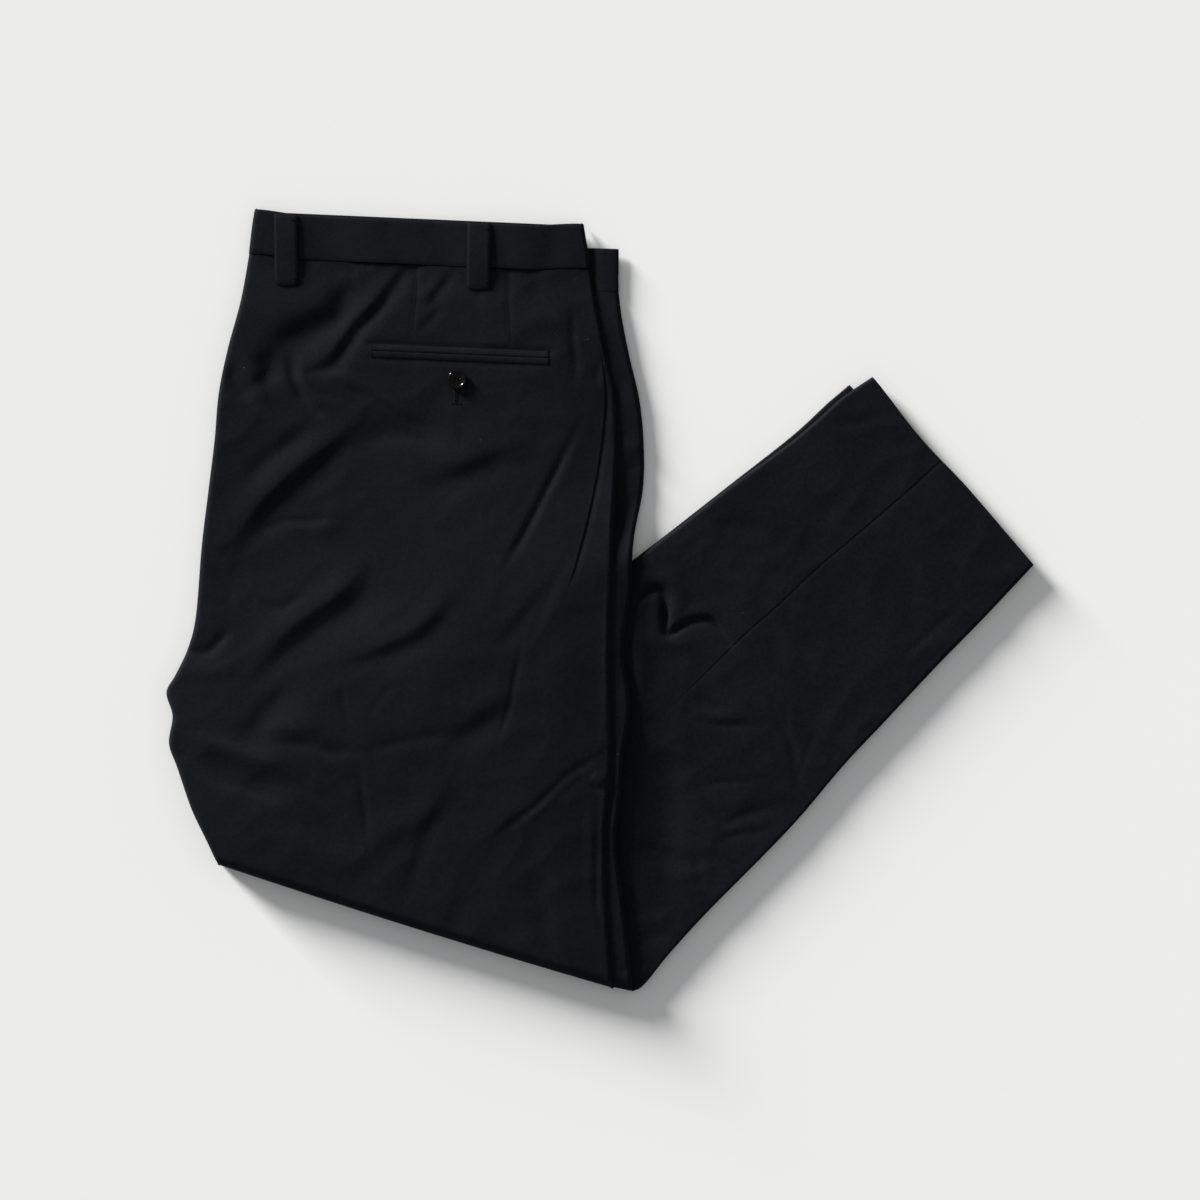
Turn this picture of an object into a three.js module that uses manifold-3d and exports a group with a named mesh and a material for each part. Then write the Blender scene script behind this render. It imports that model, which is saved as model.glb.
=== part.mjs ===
// Dress trousers, folded in half at the centre back and then at the knee, lying flat.
// Millimetres, +Z up. The origin is on the surface the trousers rest on, under the middle of their
// outline. +Y runs from the knee fold to the waist, +X from the seat fold to the hems.
// The near leg is the one on top at the thigh. Below the knee the far leg is on top of it.
import * as THREE from "three";
import { mergeVertices } from "three/addons/utils/BufferGeometryUtils.js";
import Module from "manifold-3d";

// Driving dimensions
const CLOTH = 1.2; // a panel's wall
const BAND_CLOTH = 2.2; // the waistband's wall: cloth, stiffening and cloth
const GAP = 0.3; // between two pieces
const CLOSE = 0.35; // the same, where a folded edge lies on the layer below
const LEG = 5; // one leg, pressed flat, at the thigh
const UNDER_LEG = 3.7; // one leg, pressed flat, at the shin
const SHIN_TOP = 8; // both legs at the shin
const BAND_TOP = 8.4; // the near waistband over the far one
const SEAM_DROP = 2.4; // how much lower the panels start at the waistband's seam
const SEAM_RISE = 45; // how far below the seam they reach their full height
const FAR_DROP = 0.8; // the far leg's share of that drop
const TENT = 130; // how far beside the shin's edge the thigh starts to rise over it
const TENT_AT_EDGE = 40; // the same, at the far leg's edge
const TENT_WIDENS = 120; // how far inwards from x = 0 it has widened
const KNEE_BOW = 1.6; // how far the knee fold's middle stands out
const BAND_SAG = 2.8; // how far the waistband sags between its two ends
const FOLD_RADIUS = 5; // the rounding of a thigh's long folds
const STRIP_RADIUS = 4; // the rounding of the far leg's edge
const SHIN_RADIUS = 3.5; // the rounding of a shin's creases
const BAND_RADIUS = 3.5; // the rounding of the waistband's ends
const KNEE_RADIUS = 8; // the rounding of the knee fold
const KNEE_LIP = 1.8; // how far the layers' underside lifts at the knee fold
const TUCK = 6; // how far the shin runs in under the far leg's edge
const TUCK_GAP = 1.4; // its clearance there
const HEM_DEPTH = 6; // how far the inner layers end inside the hem
const SHIN_FOOT = 0.7; // how far over the under leg the shin's creases start
const SHIN_CLEAR = 9; // how far from the far leg's edge the shin's folds start
const FAR_FOOT = 0.8; // how far over the surface the far leg's edge starts
const POCKET_LENGTH = 137;
const WELT_HEIGHT = 5;
const WELT_CLOTH = 1.1;
const LOOP_WIDTH = 18;
const LOOP_CLOTH = 1.3;
const LOOP_BOW = 2.2; // how far a belt loop's middle stands off the band
const LAID = 0.05; // how much more than the gap a sewn piece clears a panel's facets
const SOFT_EDGE = 0.35; // how much lower a sewn piece's long edges are than its middle
const BUTTON_RADIUS = 7.5;
const BUTTON_HEIGHT = 3;
const BUTTON_HOLE = 0.9; // a hole's radius
const BUTTON_HOLE_REACH = 1.9; // from the button's middle to a hole
const CELL = 15; // the size of a facet on the panels
const LAYER_COLOUR = 0x121418;
const CLOTH_COLOUR = 0x17191d;
const SHIN_COLOUR = 0x1a1d21;
const HORN_COLOUR = 0x16120f;

// The waistband from its top edge to its seam: the seat fold, the near half's end, where the far
// half comes out from under it, and the far half's end
const BAND = [
  { left: [-266, 300.3], near: [-13, 289.2], mid: [-12, 271], far: [14, 270] },
  { left: [-268, 288], near: [-11, 277], mid: [-12, 259.5], far: [14, 258.5] },
  { left: [-269.3, 277], near: [-9, 265.3], mid: [-12, 248], far: [13.8, 247] },
  { left: [-270.5, 266.2], near: [-8, 254.8], mid: [-12, 236.6], far: [14, 236.2] },
];

// The thigh from the waistband's seam to the knee fold. seam is the side seam's x.
const THIGH = [
  { left: [-270.3, 265.2], near: [-8, 253.8], far: [14.2, 235], seam: -11 },
  { left: [-276.6, 230], near: [-4, 227], far: [16.5, 217], seam: -7.5 },
  { left: [-286.8, 192], near: [3, 192], far: [22.2, 188], seam: -0.5 },
  { left: [-293.6, 158], near: [11, 157], far: [30, 154], seam: 3 },
  { left: [-296.7, 123], near: [13, 122], far: [33.3, 119], seam: 0.5 },
  { left: [-301.3, 85], near: [12, 87], far: [32.6, 85], seam: -5 },
  { left: [-306.5, 42], near: [10, 48], far: [25.5, 46], seam: -14 },
  { left: [-311, -12], near: [8, 4], far: [23, 2], seam: -28 },
  { left: [-317, -37], near: [7, -31], far: [18.5, -31], seam: -48 },
  { left: [-326.3, -57], near: [7, -52], far: [19, -52], seam: -66 },
  { left: [-333.5, -71], near: [8, -73], far: [22.5, -73], seam: -71 },
  { left: [-328.7, -89], near: [8, -95], far: [22, -95], seam: -75 },
  { left: [-331.4, -110], near: [8, -121], far: [17.5, -122], seam: -83 },
  { left: [-324.8, -129], near: [6, -145], far: [16, -146], seam: -99 },
  { left: [-314, -160], near: [3, -186], far: [13, -187], seam: -125 },
  { left: [-304, -181], near: [5, -241], far: [19, -242], seam: -143 },
  { left: [-299, -191.5], near: [8, -286], far: [24, -290], seam: -153 },
  { left: [-293.8, -203], near: [9.5, -298], far: [25.6, -301.3], seam: -156 },
];
const KNEE_STEP = 9.5; // between the last two sections, square to the fold
const STRIP_START = 0.68; // the far strip starts this much lower beside the near leg, in sections
const STRIP_LEVEL = 2.5; // and is level with it again after so many

// The shin from the thigh to the hem: back crease, front crease, and the side seam's place between
const SHIN = [
  { back: [18, 26], front: [22, -300.3], seam: 0.42 },
  { back: [31.4, 34.5], front: [32, -297.5], seam: 0.42 },
  { back: [46.7, 46], front: [51.2, -274], seam: 0.415 },
  { back: [73.4, 66.5], front: [81.2, -241], seam: 0.41 },
  { back: [100.2, 87.7], front: [127.9, -193.9], seam: 0.4 },
  { back: [124, 105], front: [155, -165], seam: 0.4 },
  { back: [149.5, 124], front: [188, -126], seam: 0.4 },
  { back: [169.5, 141], front: [220, -92], seam: 0.41 },
  { back: [183.5, 154], front: [258.7, -50.7], seam: 0.425 },
  { back: [196.5, 163.3], front: [296.8, -11.8], seam: 0.43 },
  { back: [209, 171.5], front: [333, 26.8], seam: 0.433 },
];
const HEM_BOW = 2.2; // the hem's line bends in by this much near its back end

// The near leg's shin, which lies under the far leg's and peeps out at the hem's back end
const UNDER = [
  { back: [18, 27], front: [22, -299.3] },
  { back: [31, 35.6], front: [32, -296.5] },
  { back: [46.3, 47], front: [51, -273] },
  { back: [99.8, 88.9], front: [127, -193] },
  { back: [147.8, 126.6], front: [187, -125] },
  { back: [175.6, 152.2], front: [257.5, -49.5] },
  { back: [191.5, 165.6], front: [326, 25] },
];

// The largest folds: a line through each, its half width and its height, less than 0 for a trough
const THIGH_FOLDS = [
  { path: [[-146, 254], [-166, 229], [-190, 207], [-203, 178]], width: 10, height: -2.2 },
  { path: [[-186, 241], [-196, 221], [-220, 202], [-240, 192]], width: 10, height: 2 },
  { path: [[-200, 231], [-230, 227], [-254, 212], [-266, 195]], width: 12, height: -2.4 },
  { path: [[-186, 143], [-225, 111], [-250, 82], [-272, 42]], width: 14, height: 2.8 },
  {
    path: [
      [-107, 121], [-151, 128], [-186, 121], [-215, 106], [-242, 79], [-264, 55],
    ],
    width: 12,
    height: -2.2,
  },
  { path: [[-63, 108], [-102, 84], [-131, 84], [-166, 96]], width: 11, height: -1.4 },
  { path: [[-315, -40], [-300, -40], [-281, -17]], width: 9, height: -1.6 },
  { path: [[-183, 26], [-216, 1], [-243, -24], [-271, -52]], width: 11, height: 1.8 },
  { path: [[-166, 20], [-199, -8], [-235, -29], [-276, -63]], width: 12, height: -2.2 },
  { path: [[-230, -71], [-263, -107], [-290, -102]], width: 12, height: -1.6 },
  { path: [[-326, -79], [-304, -110], [-271, -121], [-216, -124]], width: 10, height: 2.2 },
  { path: [[-323, -112], [-290, -135], [-263, -148], [-226, -157]], width: 11, height: -2 },
  {
    path: [
      [-7, -127], [-18, -127], [-50, -154], [-75, -179], [-100, -206],
    ],
    width: 10,
    height: 1.8,
  },
];
const SHIN_FOLDS = [
  {
    path: [
      [23, 3], [37, 12], [50, 8], [53, -2], [51, -27], [67, -24],
      [84, -15], [97, -32],
    ],
    width: 6,
    height: -1.8,
  },
  { path: [[30, -131], [34, -177], [30, -231]], width: 15, height: -2.2 },
  { path: [[133, -78], [150, -138]], width: 9, height: -1 },
  { path: [[71, -145], [97, -170], [133, -154]], width: 9, height: -1.2 },
  { path: [[27, -185], [53, -197], [100, -198]], width: 9, height: -1.2 },
];

const KNEE_CORNER = [-293, -202]; // the knee fold's end at the back crease
const SHIN_SHOWS = [23.5, 30]; // where the shin's back crease comes out from under the thigh
const POCKET_MIDDLE = [-108, 188.5];
const POCKET_SLOPE = -0.042; // the pocket drops a little towards the side seam
const BUTTON_PLACE = [-110, 169];
const LOOPS = [
  { name: "belt_loop_back", top: [-241.5, 293], bottom: [-241, 242] },
  { name: "belt_loop_side", top: [-93.5, 287], bottom: [-94, 239] },
];

// Small helpers
const mix = (a, b, t) => a + (b - a) * t;
const smooth = (from, to, value) => {
  const t = Math.min(1, Math.max(0, (value - from) / (to - from)));
  return t * t * (3 - 2 * t);
};
const along = (a, b, t) => [mix(a[0], b[0], t), mix(a[1], b[1], t)];
const distance = (a, b) => Math.hypot(a[0] - b[0], a[1] - b[1]);
const spread = (from, to, count) =>
  Array.from({ length: count }, (_, i) => mix(from, to, i / (count - 1)));

// One value on a smooth curve through a column of a table, straight between its last two rows
function curve(values, t) {
  const i = Math.min(values.length - 2, Math.max(0, Math.floor(t)));
  if (i === values.length - 2) return mix(values[i], values[i + 1], t - i);
  const at = (k) => values[Math.min(values.length - 1, Math.max(0, k))];
  const [a, b, c, d] = [at(i - 1), at(i), at(i + 1), at(i + 2)];
  const s = t - i;
  const bend = 2 * a - 5 * b + 4 * c - d + (3 * b - 3 * c + d - a) * s;
  return b + 0.5 * s * (c - a + s * bend);
}
const columnPoint = (table, name, t) => [
  curve(table.map((row) => row[name][0]), t),
  curve(table.map((row) => row[name][1]), t),
];
const columnValue = (table, name, t) => curve(table.map((row) => row[name]), t);

// Where to cut sections through a table, so that they lie about a cell apart
function sectionPlaces(table, first, last, from, to, cell = CELL) {
  const fine = spread(from, to, 300).map((t) => ({ t, run: 0 }));
  const middle = (t) => along(columnPoint(table, first, t), columnPoint(table, last, t), 0.6);
  for (let i = 1; i < fine.length; i++)
    fine[i].run = fine[i - 1].run + distance(middle(fine[i - 1].t), middle(fine[i].t));
  const total = fine[fine.length - 1].run;
  return spread(0, total, Math.round(total / cell) + 1).map((run) => {
    const next = fine.find((place) => place.run >= run - 1e-6);
    return next.t;
  });
}

// The height that the folds add at a point
function foldHeight(folds, x, y) {
  let sum = 0;
  for (const { path, width, height } of folds) {
    let best = Infinity;
    let place = 0;
    const lengths = path.slice(1).map((p, i) => distance(p, path[i]));
    const total = lengths.reduce((a, b) => a + b, 0);
    let run = 0;
    lengths.forEach((length, i) => {
      const [ax, ay] = path[i];
      const [bx, by] = path[i + 1];
      const t = ((x - ax) * (bx - ax) + (y - ay) * (by - ay)) / length ** 2;
      const s = Math.min(1, Math.max(0, t));
      const d = distance([x, y], along(path[i], path[i + 1], s));
      if (d < best) {
        best = d;
        place = (run + s * length) / total;
      }
      run += length;
    });
    const fade = smooth(0, 0.3, place) * smooth(1, 0.7, place);
    sum += height * (0.35 + 0.65 * fade) * Math.exp(-((best / width) ** 2));
  }
  return sum;
}

// Heights of the stack
const seamLine = (x) => {
  const { left, near } = THIGH[0];
  return mix(left[1], near[1], (x - left[0]) / (near[0] - left[0]));
};
const belowSeam = (x, y) => 1 - smooth(0, SEAM_RISE, seamLine(x) - y);
const shinEdge = new THREE.Vector2(
  SHIN_SHOWS[0] - KNEE_CORNER[0],
  SHIN_SHOWS[1] - KNEE_CORNER[1],
).normalize();
function shinRaise(x, y) {
  const inside = (x - KNEE_CORNER[0]) * shinEdge.y - (y - KNEE_CORNER[1]) * shinEdge.x;
  return SHIN_TOP * smooth(-mix(TENT_AT_EDGE, TENT, smooth(0, -TENT_WIDENS, x)), 0, inside);
}
// How much lower the waistband's middle lies, and the panels' top with it
const SAG_STARTS = [-264, -228];
const SAG_ENDS = [-55, -15];
const bandSag = (x) => BAND_SAG * smooth(...SAG_STARTS, x) * (1 - smooth(...SAG_ENDS, x));
const panelSag = (x, y) => bandSag(x) * (1 - smooth(0, 1.5 * SEAM_RISE, seamLine(x) - y));
const thighTop = (x, y) =>
  shinRaise(x, y) + 2 * LEG - SEAM_DROP * belowSeam(x, y);
const farTop = (x, y) => shinRaise(x, y) + LEG - FAR_DROP * SEAM_DROP * belowSeam(x, y);
const onShin = (x, y) => shinRaise(x, y) > SHIN_TOP - 0.5;
const restLine = (x, y) => shinRaise(x, y) + (onShin(x, y) ? CLOSE : FAR_FOOT);
// 0 at a rounded edge, 1 past its radius
const round = (inset, radius) =>
  inset >= radius ? 1 : Math.sqrt(Math.max(0, 1 - (1 - inset / radius) ** 2));
// Insets that share out a rounded edge, from its end inwards
const roundInsets = (radius) =>
  [0, 30, 60, 90].map((angle) => radius * (1 - Math.cos((angle * Math.PI) / 180)));

// Normals of a grid of points, rows by columns, out of the surface. They lie level at the columns
// in level, and the two columns at a seam, the first of which is given, share theirs.
function gridNormals(rows, level = [], seam = -1) {
  const normals = rows.map((row, j) =>
    row.map((_, i) => {
      const across = new THREE.Vector3().subVectors(
        row[Math.min(row.length - 1, i + 1)],
        row[Math.max(0, i - 1)],
      );
      const down = new THREE.Vector3().subVectors(
        rows[Math.min(rows.length - 1, j + 1)][i],
        rows[Math.max(0, j - 1)][i],
      );
      const normal = new THREE.Vector3().crossVectors(down, across);
      if (level.includes(i)) normal.z = 0;
      return normal.normalize();
    }),
  );
  if (seam >= 0)
    for (const row of normals) {
      row[seam].add(row[seam + 1]).normalize();
      row[seam + 1].copy(row[seam]);
    }
  return normals;
}
const offsetRows = (rows, normals, amount) =>
  rows.map((row, j) =>
    row.map((point, i) => point.clone().addScaledVector(normals[j][i], amount)),
  );

// Closed geometry from corner points and triangles
function closed(points, triangles) {
  const geometry = new THREE.BufferGeometry();
  const flat = points.flatMap((point) => [point.x, point.y, point.z]);
  geometry.setAttribute("position", new THREE.Float32BufferAttribute(flat, 3));
  geometry.setIndex(triangles);
  geometry.computeVertexNormals();
  return geometry;
}

// A wall between a grid of outer points and the same grid moved in
function wall(outer, inner) {
  const rows = outer.length;
  const columns = outer[0].length;
  const points = [...outer.flat(), ...inner.flat()];
  const out = (j, i) => j * columns + i;
  const into = (j, i) => rows * columns + j * columns + i;
  const triangles = [];
  const quad = (a, b, c, d) => triangles.push(a, b, c, a, c, d);
  for (let j = 0; j + 1 < rows; j++)
    for (let i = 0; i + 1 < columns; i++) {
      quad(out(j, i), out(j + 1, i), out(j + 1, i + 1), out(j, i + 1));
      quad(into(j, i), into(j, i + 1), into(j + 1, i + 1), into(j + 1, i));
    }
  for (let j = 0; j + 1 < rows; j++) {
    quad(out(j, 0), into(j, 0), into(j + 1, 0), out(j + 1, 0));
    const end = columns - 1;
    quad(out(j, end), out(j + 1, end), into(j + 1, end), into(j, end));
  }
  for (let i = 0; i + 1 < columns; i++) {
    quad(out(0, i), out(0, i + 1), into(0, i + 1), into(0, i));
    const end = rows - 1;
    quad(out(end, i), into(end, i), into(end, i + 1), out(end, i + 1));
  }
  return closed(points, triangles);
}

// A solid through closed rings, each wound from its left foot over the top and back underneath
function loft(rings) {
  const count = rings[0].length;
  const points = rings.flat();
  const triangles = [];
  for (let j = 0; j + 1 < rings.length; j++)
    for (let i = 0; i < count; i++) {
      const next = (i + 1) % count;
      const [a, b] = [j * count + i, j * count + next];
      const [c, d] = [(j + 1) * count + next, (j + 1) * count + i];
      triangles.push(a, d, c, a, c, b);
    }
  const cap = (ring, first, turned) => {
    const start = ring[0];
    const end = ring.reduce((far, p) => (p.distanceTo(start) > far.distanceTo(start) ? p : far));
    const axis = new THREE.Vector2(end.x - start.x, end.y - start.y);
    const reach = ring.map((p) => (p.x - start.x) * axis.x + (p.y - start.y) * axis.y);
    const left = reach.indexOf(Math.min(...reach));
    const right = reach.indexOf(Math.max(...reach));
    const chain = (step) => {
      const picked = [left];
      while (picked[picked.length - 1] !== right)
        picked.push((picked[picked.length - 1] + step + count) % count);
      return picked;
    };
    const upper = chain(1);
    const lower = chain(-1);
    let [u, l] = [0, 0];
    while (u + 1 < upper.length || l + 1 < lower.length) {
      const goUp =
        l + 1 >= lower.length ||
        (u + 1 < upper.length && reach[upper[u + 1]] <= reach[lower[l + 1]]);
      const third = goUp ? upper[u + 1] : lower[l + 1];
      const face = [upper[u], third, lower[l]];
      if (goUp) u += 1;
      else l += 1;
      if (new Set(face).size < 3) continue;
      if (turned) face.reverse();
      triangles.push(...face.map((k) => first + k));
    }
  };
  cap(rings[0], 0, false);
  cap(rings[rings.length - 1], (rings.length - 1) * count, true);
  return closed(points, triangles);
}

// The thigh's sections: places along the table, then round the knee fold
const kneeRows = [
  { angle: 90, strip: 1 },
  { angle: 60, strip: 0.7 },
  { angle: 30, strip: 0.15 },
  { angle: 0 },
  { angle: -30 },
  { angle: -60 },
].map((row) => {
  const a = (row.angle * Math.PI) / 180;
  const t = THIGH.length - 1 - (KNEE_RADIUS * (1 - Math.cos(a))) / KNEE_STEP;
  return { ...row, t, share: (1 + Math.sin(a)) / 2 };
});
const thighRows = [
  ...sectionPlaces(THIGH, "left", "near", 0, kneeRows[0].t)
    .slice(0, -1)
    .map((t) => ({ t, share: 1, angle: 90, strip: 1 })),
  ...kneeRows,
];
const BACK_COLUMNS = 16;
const FRONT_COLUMNS = 6;
const STRIP_COLUMNS = 3;
const MOST_BEND = 0.7; // the most of a narrow front that its rounded edge takes

// The knee fold's way out, and how far it bows at a place across it
const KNEE_WAY = [-0.29, -0.957];
const kneeBow = (t, share) =>
  KNEE_BOW * smooth(THIGH.length - 3, THIGH.length - 1, t) * Math.sin(Math.PI * share);

// One section of the near leg, as two lists of points that meet at the side seam
function nearSection({ t, share }) {
  const left = columnPoint(THIGH, "left", t);
  const near = columnPoint(THIGH, "near", t);
  const width = distance(left, near);
  const seam = ((columnValue(THIGH, "seam", t) - left[0]) / (near[0] - left[0])) * width;
  const point = (inset) => {
    let [x, y] = along(left, near, inset / width);
    const bow = kneeBow(t, inset / width);
    x += bow * KNEE_WAY[0];
    y += bow * KNEE_WAY[1] - panelSag(x, y);
    const leftShare = round(inset, FOLD_RADIUS);
    const rightShare = round(width - inset, FOLD_RADIUS);
    const full = thighTop(x, y) + foldHeight(THIGH_FOLDS, x, y);
    const foot = leftShare < 1 ? thighTop(x, y) / 2 : farTop(x, y) + CLOSE;
    const z = mix(foot, full, Math.min(leftShare, rightShare));
    return new THREE.Vector3(x, y, z * share);
  };
  const backEnd = seam - GAP / 2;
  const frontStart = seam + GAP / 2;
  const bend = Math.min(FOLD_RADIUS, (width - frontStart) * MOST_BEND);
  const backInsets = [
    ...roundInsets(FOLD_RADIUS),
    ...spread(FOLD_RADIUS, backEnd, BACK_COLUMNS).slice(1),
  ];
  const frontInsets = [
    ...spread(frontStart, width - bend, FRONT_COLUMNS),
    ...roundInsets(bend).slice(0, -1).reverse().map((inset) => width - inset),
  ];
  return { back: backInsets.map(point), front: frontInsets.map(point) };
}

// One section of the far leg's strip, from under the near leg's edge to its own edge
function stripSection({ t, strip }) {
  const near = columnPoint(THIGH, "near", t + STRIP_START * (1 - smooth(0, STRIP_LEVEL, t)));
  const far = columnPoint(THIGH, "far", t);
  const width = distance(near, far);
  const start = strip === 1 ? -CLOTH : GAP;
  const insets = [
    ...spread(start, width - STRIP_RADIUS, STRIP_COLUMNS),
    ...roundInsets(STRIP_RADIUS).slice(0, -1).reverse().map((inset) => width - inset),
  ];
  return insets.map((inset) => {
    const [x, y] = along(near, far, inset / width);
    const share = round(width - inset, STRIP_RADIUS) * strip;
    return new THREE.Vector3(x, y, mix(restLine(x, y), farTop(x, y), share));
  });
}

const nearSections = thighRows.map(nearSection);
const backOuter = nearSections.map((section) => section.back);
const frontOuter = nearSections.map((section) => section.front);
const nearOuter = nearSections.map((section) => [...section.back, ...section.front]);
const nearEnds = [0, nearOuter[0].length - 1];
const nearNormals = gridNormals(nearOuter, nearEnds, backOuter[0].length - 1);
const backNormals = nearNormals.map((row) => row.slice(0, backOuter[0].length));
const frontNormals = nearNormals.map((row) => row.slice(backOuter[0].length));
const stripRows = thighRows.filter((row) => row.strip);
const stripOuter = stripRows.map(stripSection);
const stripNormals = gridNormals(stripOuter, [stripOuter[0].length - 1]);

// The far leg's outer edge, for the shin that comes out from under it
function farEdge(y) {
  const edge = stripOuter.map((row) => row[row.length - 1]);
  const found = edge.findIndex((point) => point.y <= y);
  const i = found < 0 ? edge.length - 1 : Math.max(1, found);
  const [a, b] = [edge[i - 1], edge[i]];
  return mix(a.x, b.x, Math.min(1, Math.max(0, (y - a.y) / (b.y - a.y))));
}

// The thigh's hidden layers: one solid, with the far side's fold rounded below the near one's
const LAYER_EDGE = [
  { inset: 3.4, share: 0 },
  { inset: 1, share: 0.2 },
  { inset: 0.2, share: 0.55 },
  { inset: 0.6, share: 0.9 },
  { inset: 1.5, share: 1 },
];
const FOOT_POINTS = 9;
const LAYER_GAP = 0.4; // between the near leg's fold and the layers' own
const SHIN_OUT = [42, 32]; // y from which the strip's layers draw back for the shin, and to which

function thighLayers() {
  const down = -(CLOTH + GAP);
  const top = offsetRows(nearOuter, nearNormals, down);
  const strip = offsetRows(stripOuter, stripNormals, down);
  const rings = [];
  thighRows.forEach((row, j) => {
    if (row.angle < 60) return;
    const angle = (row.angle * Math.PI) / 180;
    const left = columnPoint(THIGH, "left", row.t);
    const near = columnPoint(THIGH, "near", row.t);
    const inward = new THREE.Vector2(near[0] - left[0], near[1] - left[1]).normalize();
    const underside = (x, y) =>
      row.angle === 90
        ? 0
        : (thighTop(x, y) * (1 - Math.sin(angle))) / 2 + KNEE_LIP * Math.sin(angle);
    const start = top[j][0];
    const foot = underside(left[0], left[1]);
    const layer = LAYER_EDGE.map(({ inset, share }) => {
      const x = start.x + inward.x * (inset - CLOTH - GAP);
      const y = start.y + inward.y * (inset - CLOTH - GAP);
      return new THREE.Vector3(x, y, mix(foot, start.z - LAYER_GAP, share));
    });
    const back = smooth(...SHIN_OUT, stripOuter[j][0].y);
    const first = strip[j][0];
    const last = strip[j][strip[j].length - 1];
    const stripTop = first.z - (row.strip === 1 ? 0 : GAP);
    const room = Math.hypot(last.x - first.x, last.y - first.y);
    const corner = new THREE.Vector3(
      first.x - ((last.x - first.x) * GAP) / room,
      first.y - ((last.y - first.y) * GAP) / room,
      stripTop,
    );
    const shrink = mix(1, (room - (TUCK - CLOTH - GAP)) / room, back);
    const under = strip[j].slice(1).map((point) => {
      const x = first.x + (point.x - first.x) * shrink;
      const y = first.y + (point.y - first.y) * shrink;
      return new THREE.Vector3(x, y, mix(point.z, stripTop, back));
    });
    const outer = under[under.length - 1];
    const inner = layer[0];
    const base = spread(1, 0, FOOT_POINTS)
      .slice(0, -1)
      .map((share) => {
        const x = mix(inner.x, outer.x, share);
        const y = mix(inner.y, outer.y, share);
        return new THREE.Vector3(x, y, underside(x, y));
      });
    rings.push([...layer, ...top[j], corner, ...under, ...base]);
  });
  return loft(rings);
}

// The shin's sections, from the hem to the thigh
const shinRows = sectionPlaces(SHIN, "back", "front", 0, SHIN.length - 1).reverse();
const SHIN_BACK_COLUMNS = 7;
const SHIN_FRONT_COLUMNS = 9;

// A point across a shin. The first sections, of which there are HELD, follow the far leg's edge
// that covers them. The hem bends in over BOW_SPREAD of its length from its back end.
const HELD = 1.6;
const BOW_SPREAD = 0.625;
const BOW_WAY = [-1, -0.6];
function shinPlace(table, q, share) {
  const at = (t) => along(columnPoint(table, "back", t), columnPoint(table, "front", t), share);
  const [x, y] = at(q);
  const start = at(0);
  const covered = farEdge(start[1]) - TUCK + TUCK_GAP;
  const hold = 1 - smooth(0, HELD, q);
  const hem = smooth(table.length - 2, table.length - 1, q);
  const bow = HEM_BOW * hem * Math.sin(Math.PI * Math.min(1, share / BOW_SPREAD)) ** 2;
  return [x + (covered - start[0]) * hold + bow * BOW_WAY[0], y + bow * BOW_WAY[1]];
}

function shinSection(q) {
  const width = distance(shinPlace(SHIN, q, 0), shinPlace(SHIN, q, 1));
  const seam = columnValue(SHIN, "seam", q) * width;
  const point = (inset) => {
    const [x, y] = shinPlace(SHIN, q, inset / width);
    const clear = smooth(0, SHIN_CLEAR, x - farEdge(y));
    const full = SHIN_TOP + clear * foldHeight(SHIN_FOLDS, x, y);
    const share = round(Math.min(inset, width - inset), SHIN_RADIUS);
    return new THREE.Vector3(x, y, mix(UNDER_LEG + SHIN_FOOT, full, share));
  };
  const bend = roundInsets(SHIN_RADIUS);
  const back = [
    ...bend,
    ...spread(SHIN_RADIUS, seam - GAP / 2, SHIN_BACK_COLUMNS).slice(1),
  ];
  const front = [
    ...spread(seam + GAP / 2, width - SHIN_RADIUS, SHIN_FRONT_COLUMNS).slice(0, -1),
    ...bend.slice().reverse().map((inset) => width - inset),
  ];
  return { back: back.map(point), front: front.map(point) };
}

const shinSections = shinRows.map(shinSection);
const shinBackOuter = shinSections.map((section) => section.back);
const shinFrontOuter = shinSections.map((section) => section.front);
const shinOuter = shinSections.map((section) => [...section.back, ...section.front]);
const shinEnds = [0, shinOuter[0].length - 1];
const shinNormals = gridNormals(shinOuter, shinEnds, shinBackOuter[0].length - 1);
const shinBackNormals = shinNormals.map((row) => row.slice(0, shinBackOuter[0].length));
const shinFrontNormals = shinNormals.map((row) => row.slice(shinBackOuter[0].length));

// The far leg's hidden layers at the shin, ending inside the hem
function shinLayers() {
  const top = offsetRows(shinOuter, shinNormals, -(CLOTH + GAP));
  const floor = UNDER_LEG + GAP;
  const inside = HEM_DEPTH / shinOuter[0][0].distanceTo(shinOuter[1][0]);
  const rings = top.map((row, j) => {
    const upper = j === 0 ? row.map((point, i) => point.clone().lerp(top[1][i], inside)) : row;
    const base = upper.slice().reverse().map(({ x, y }) => new THREE.Vector3(x, y, floor));
    return [...upper, ...base];
  });
  return loft(rings);
}

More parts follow.
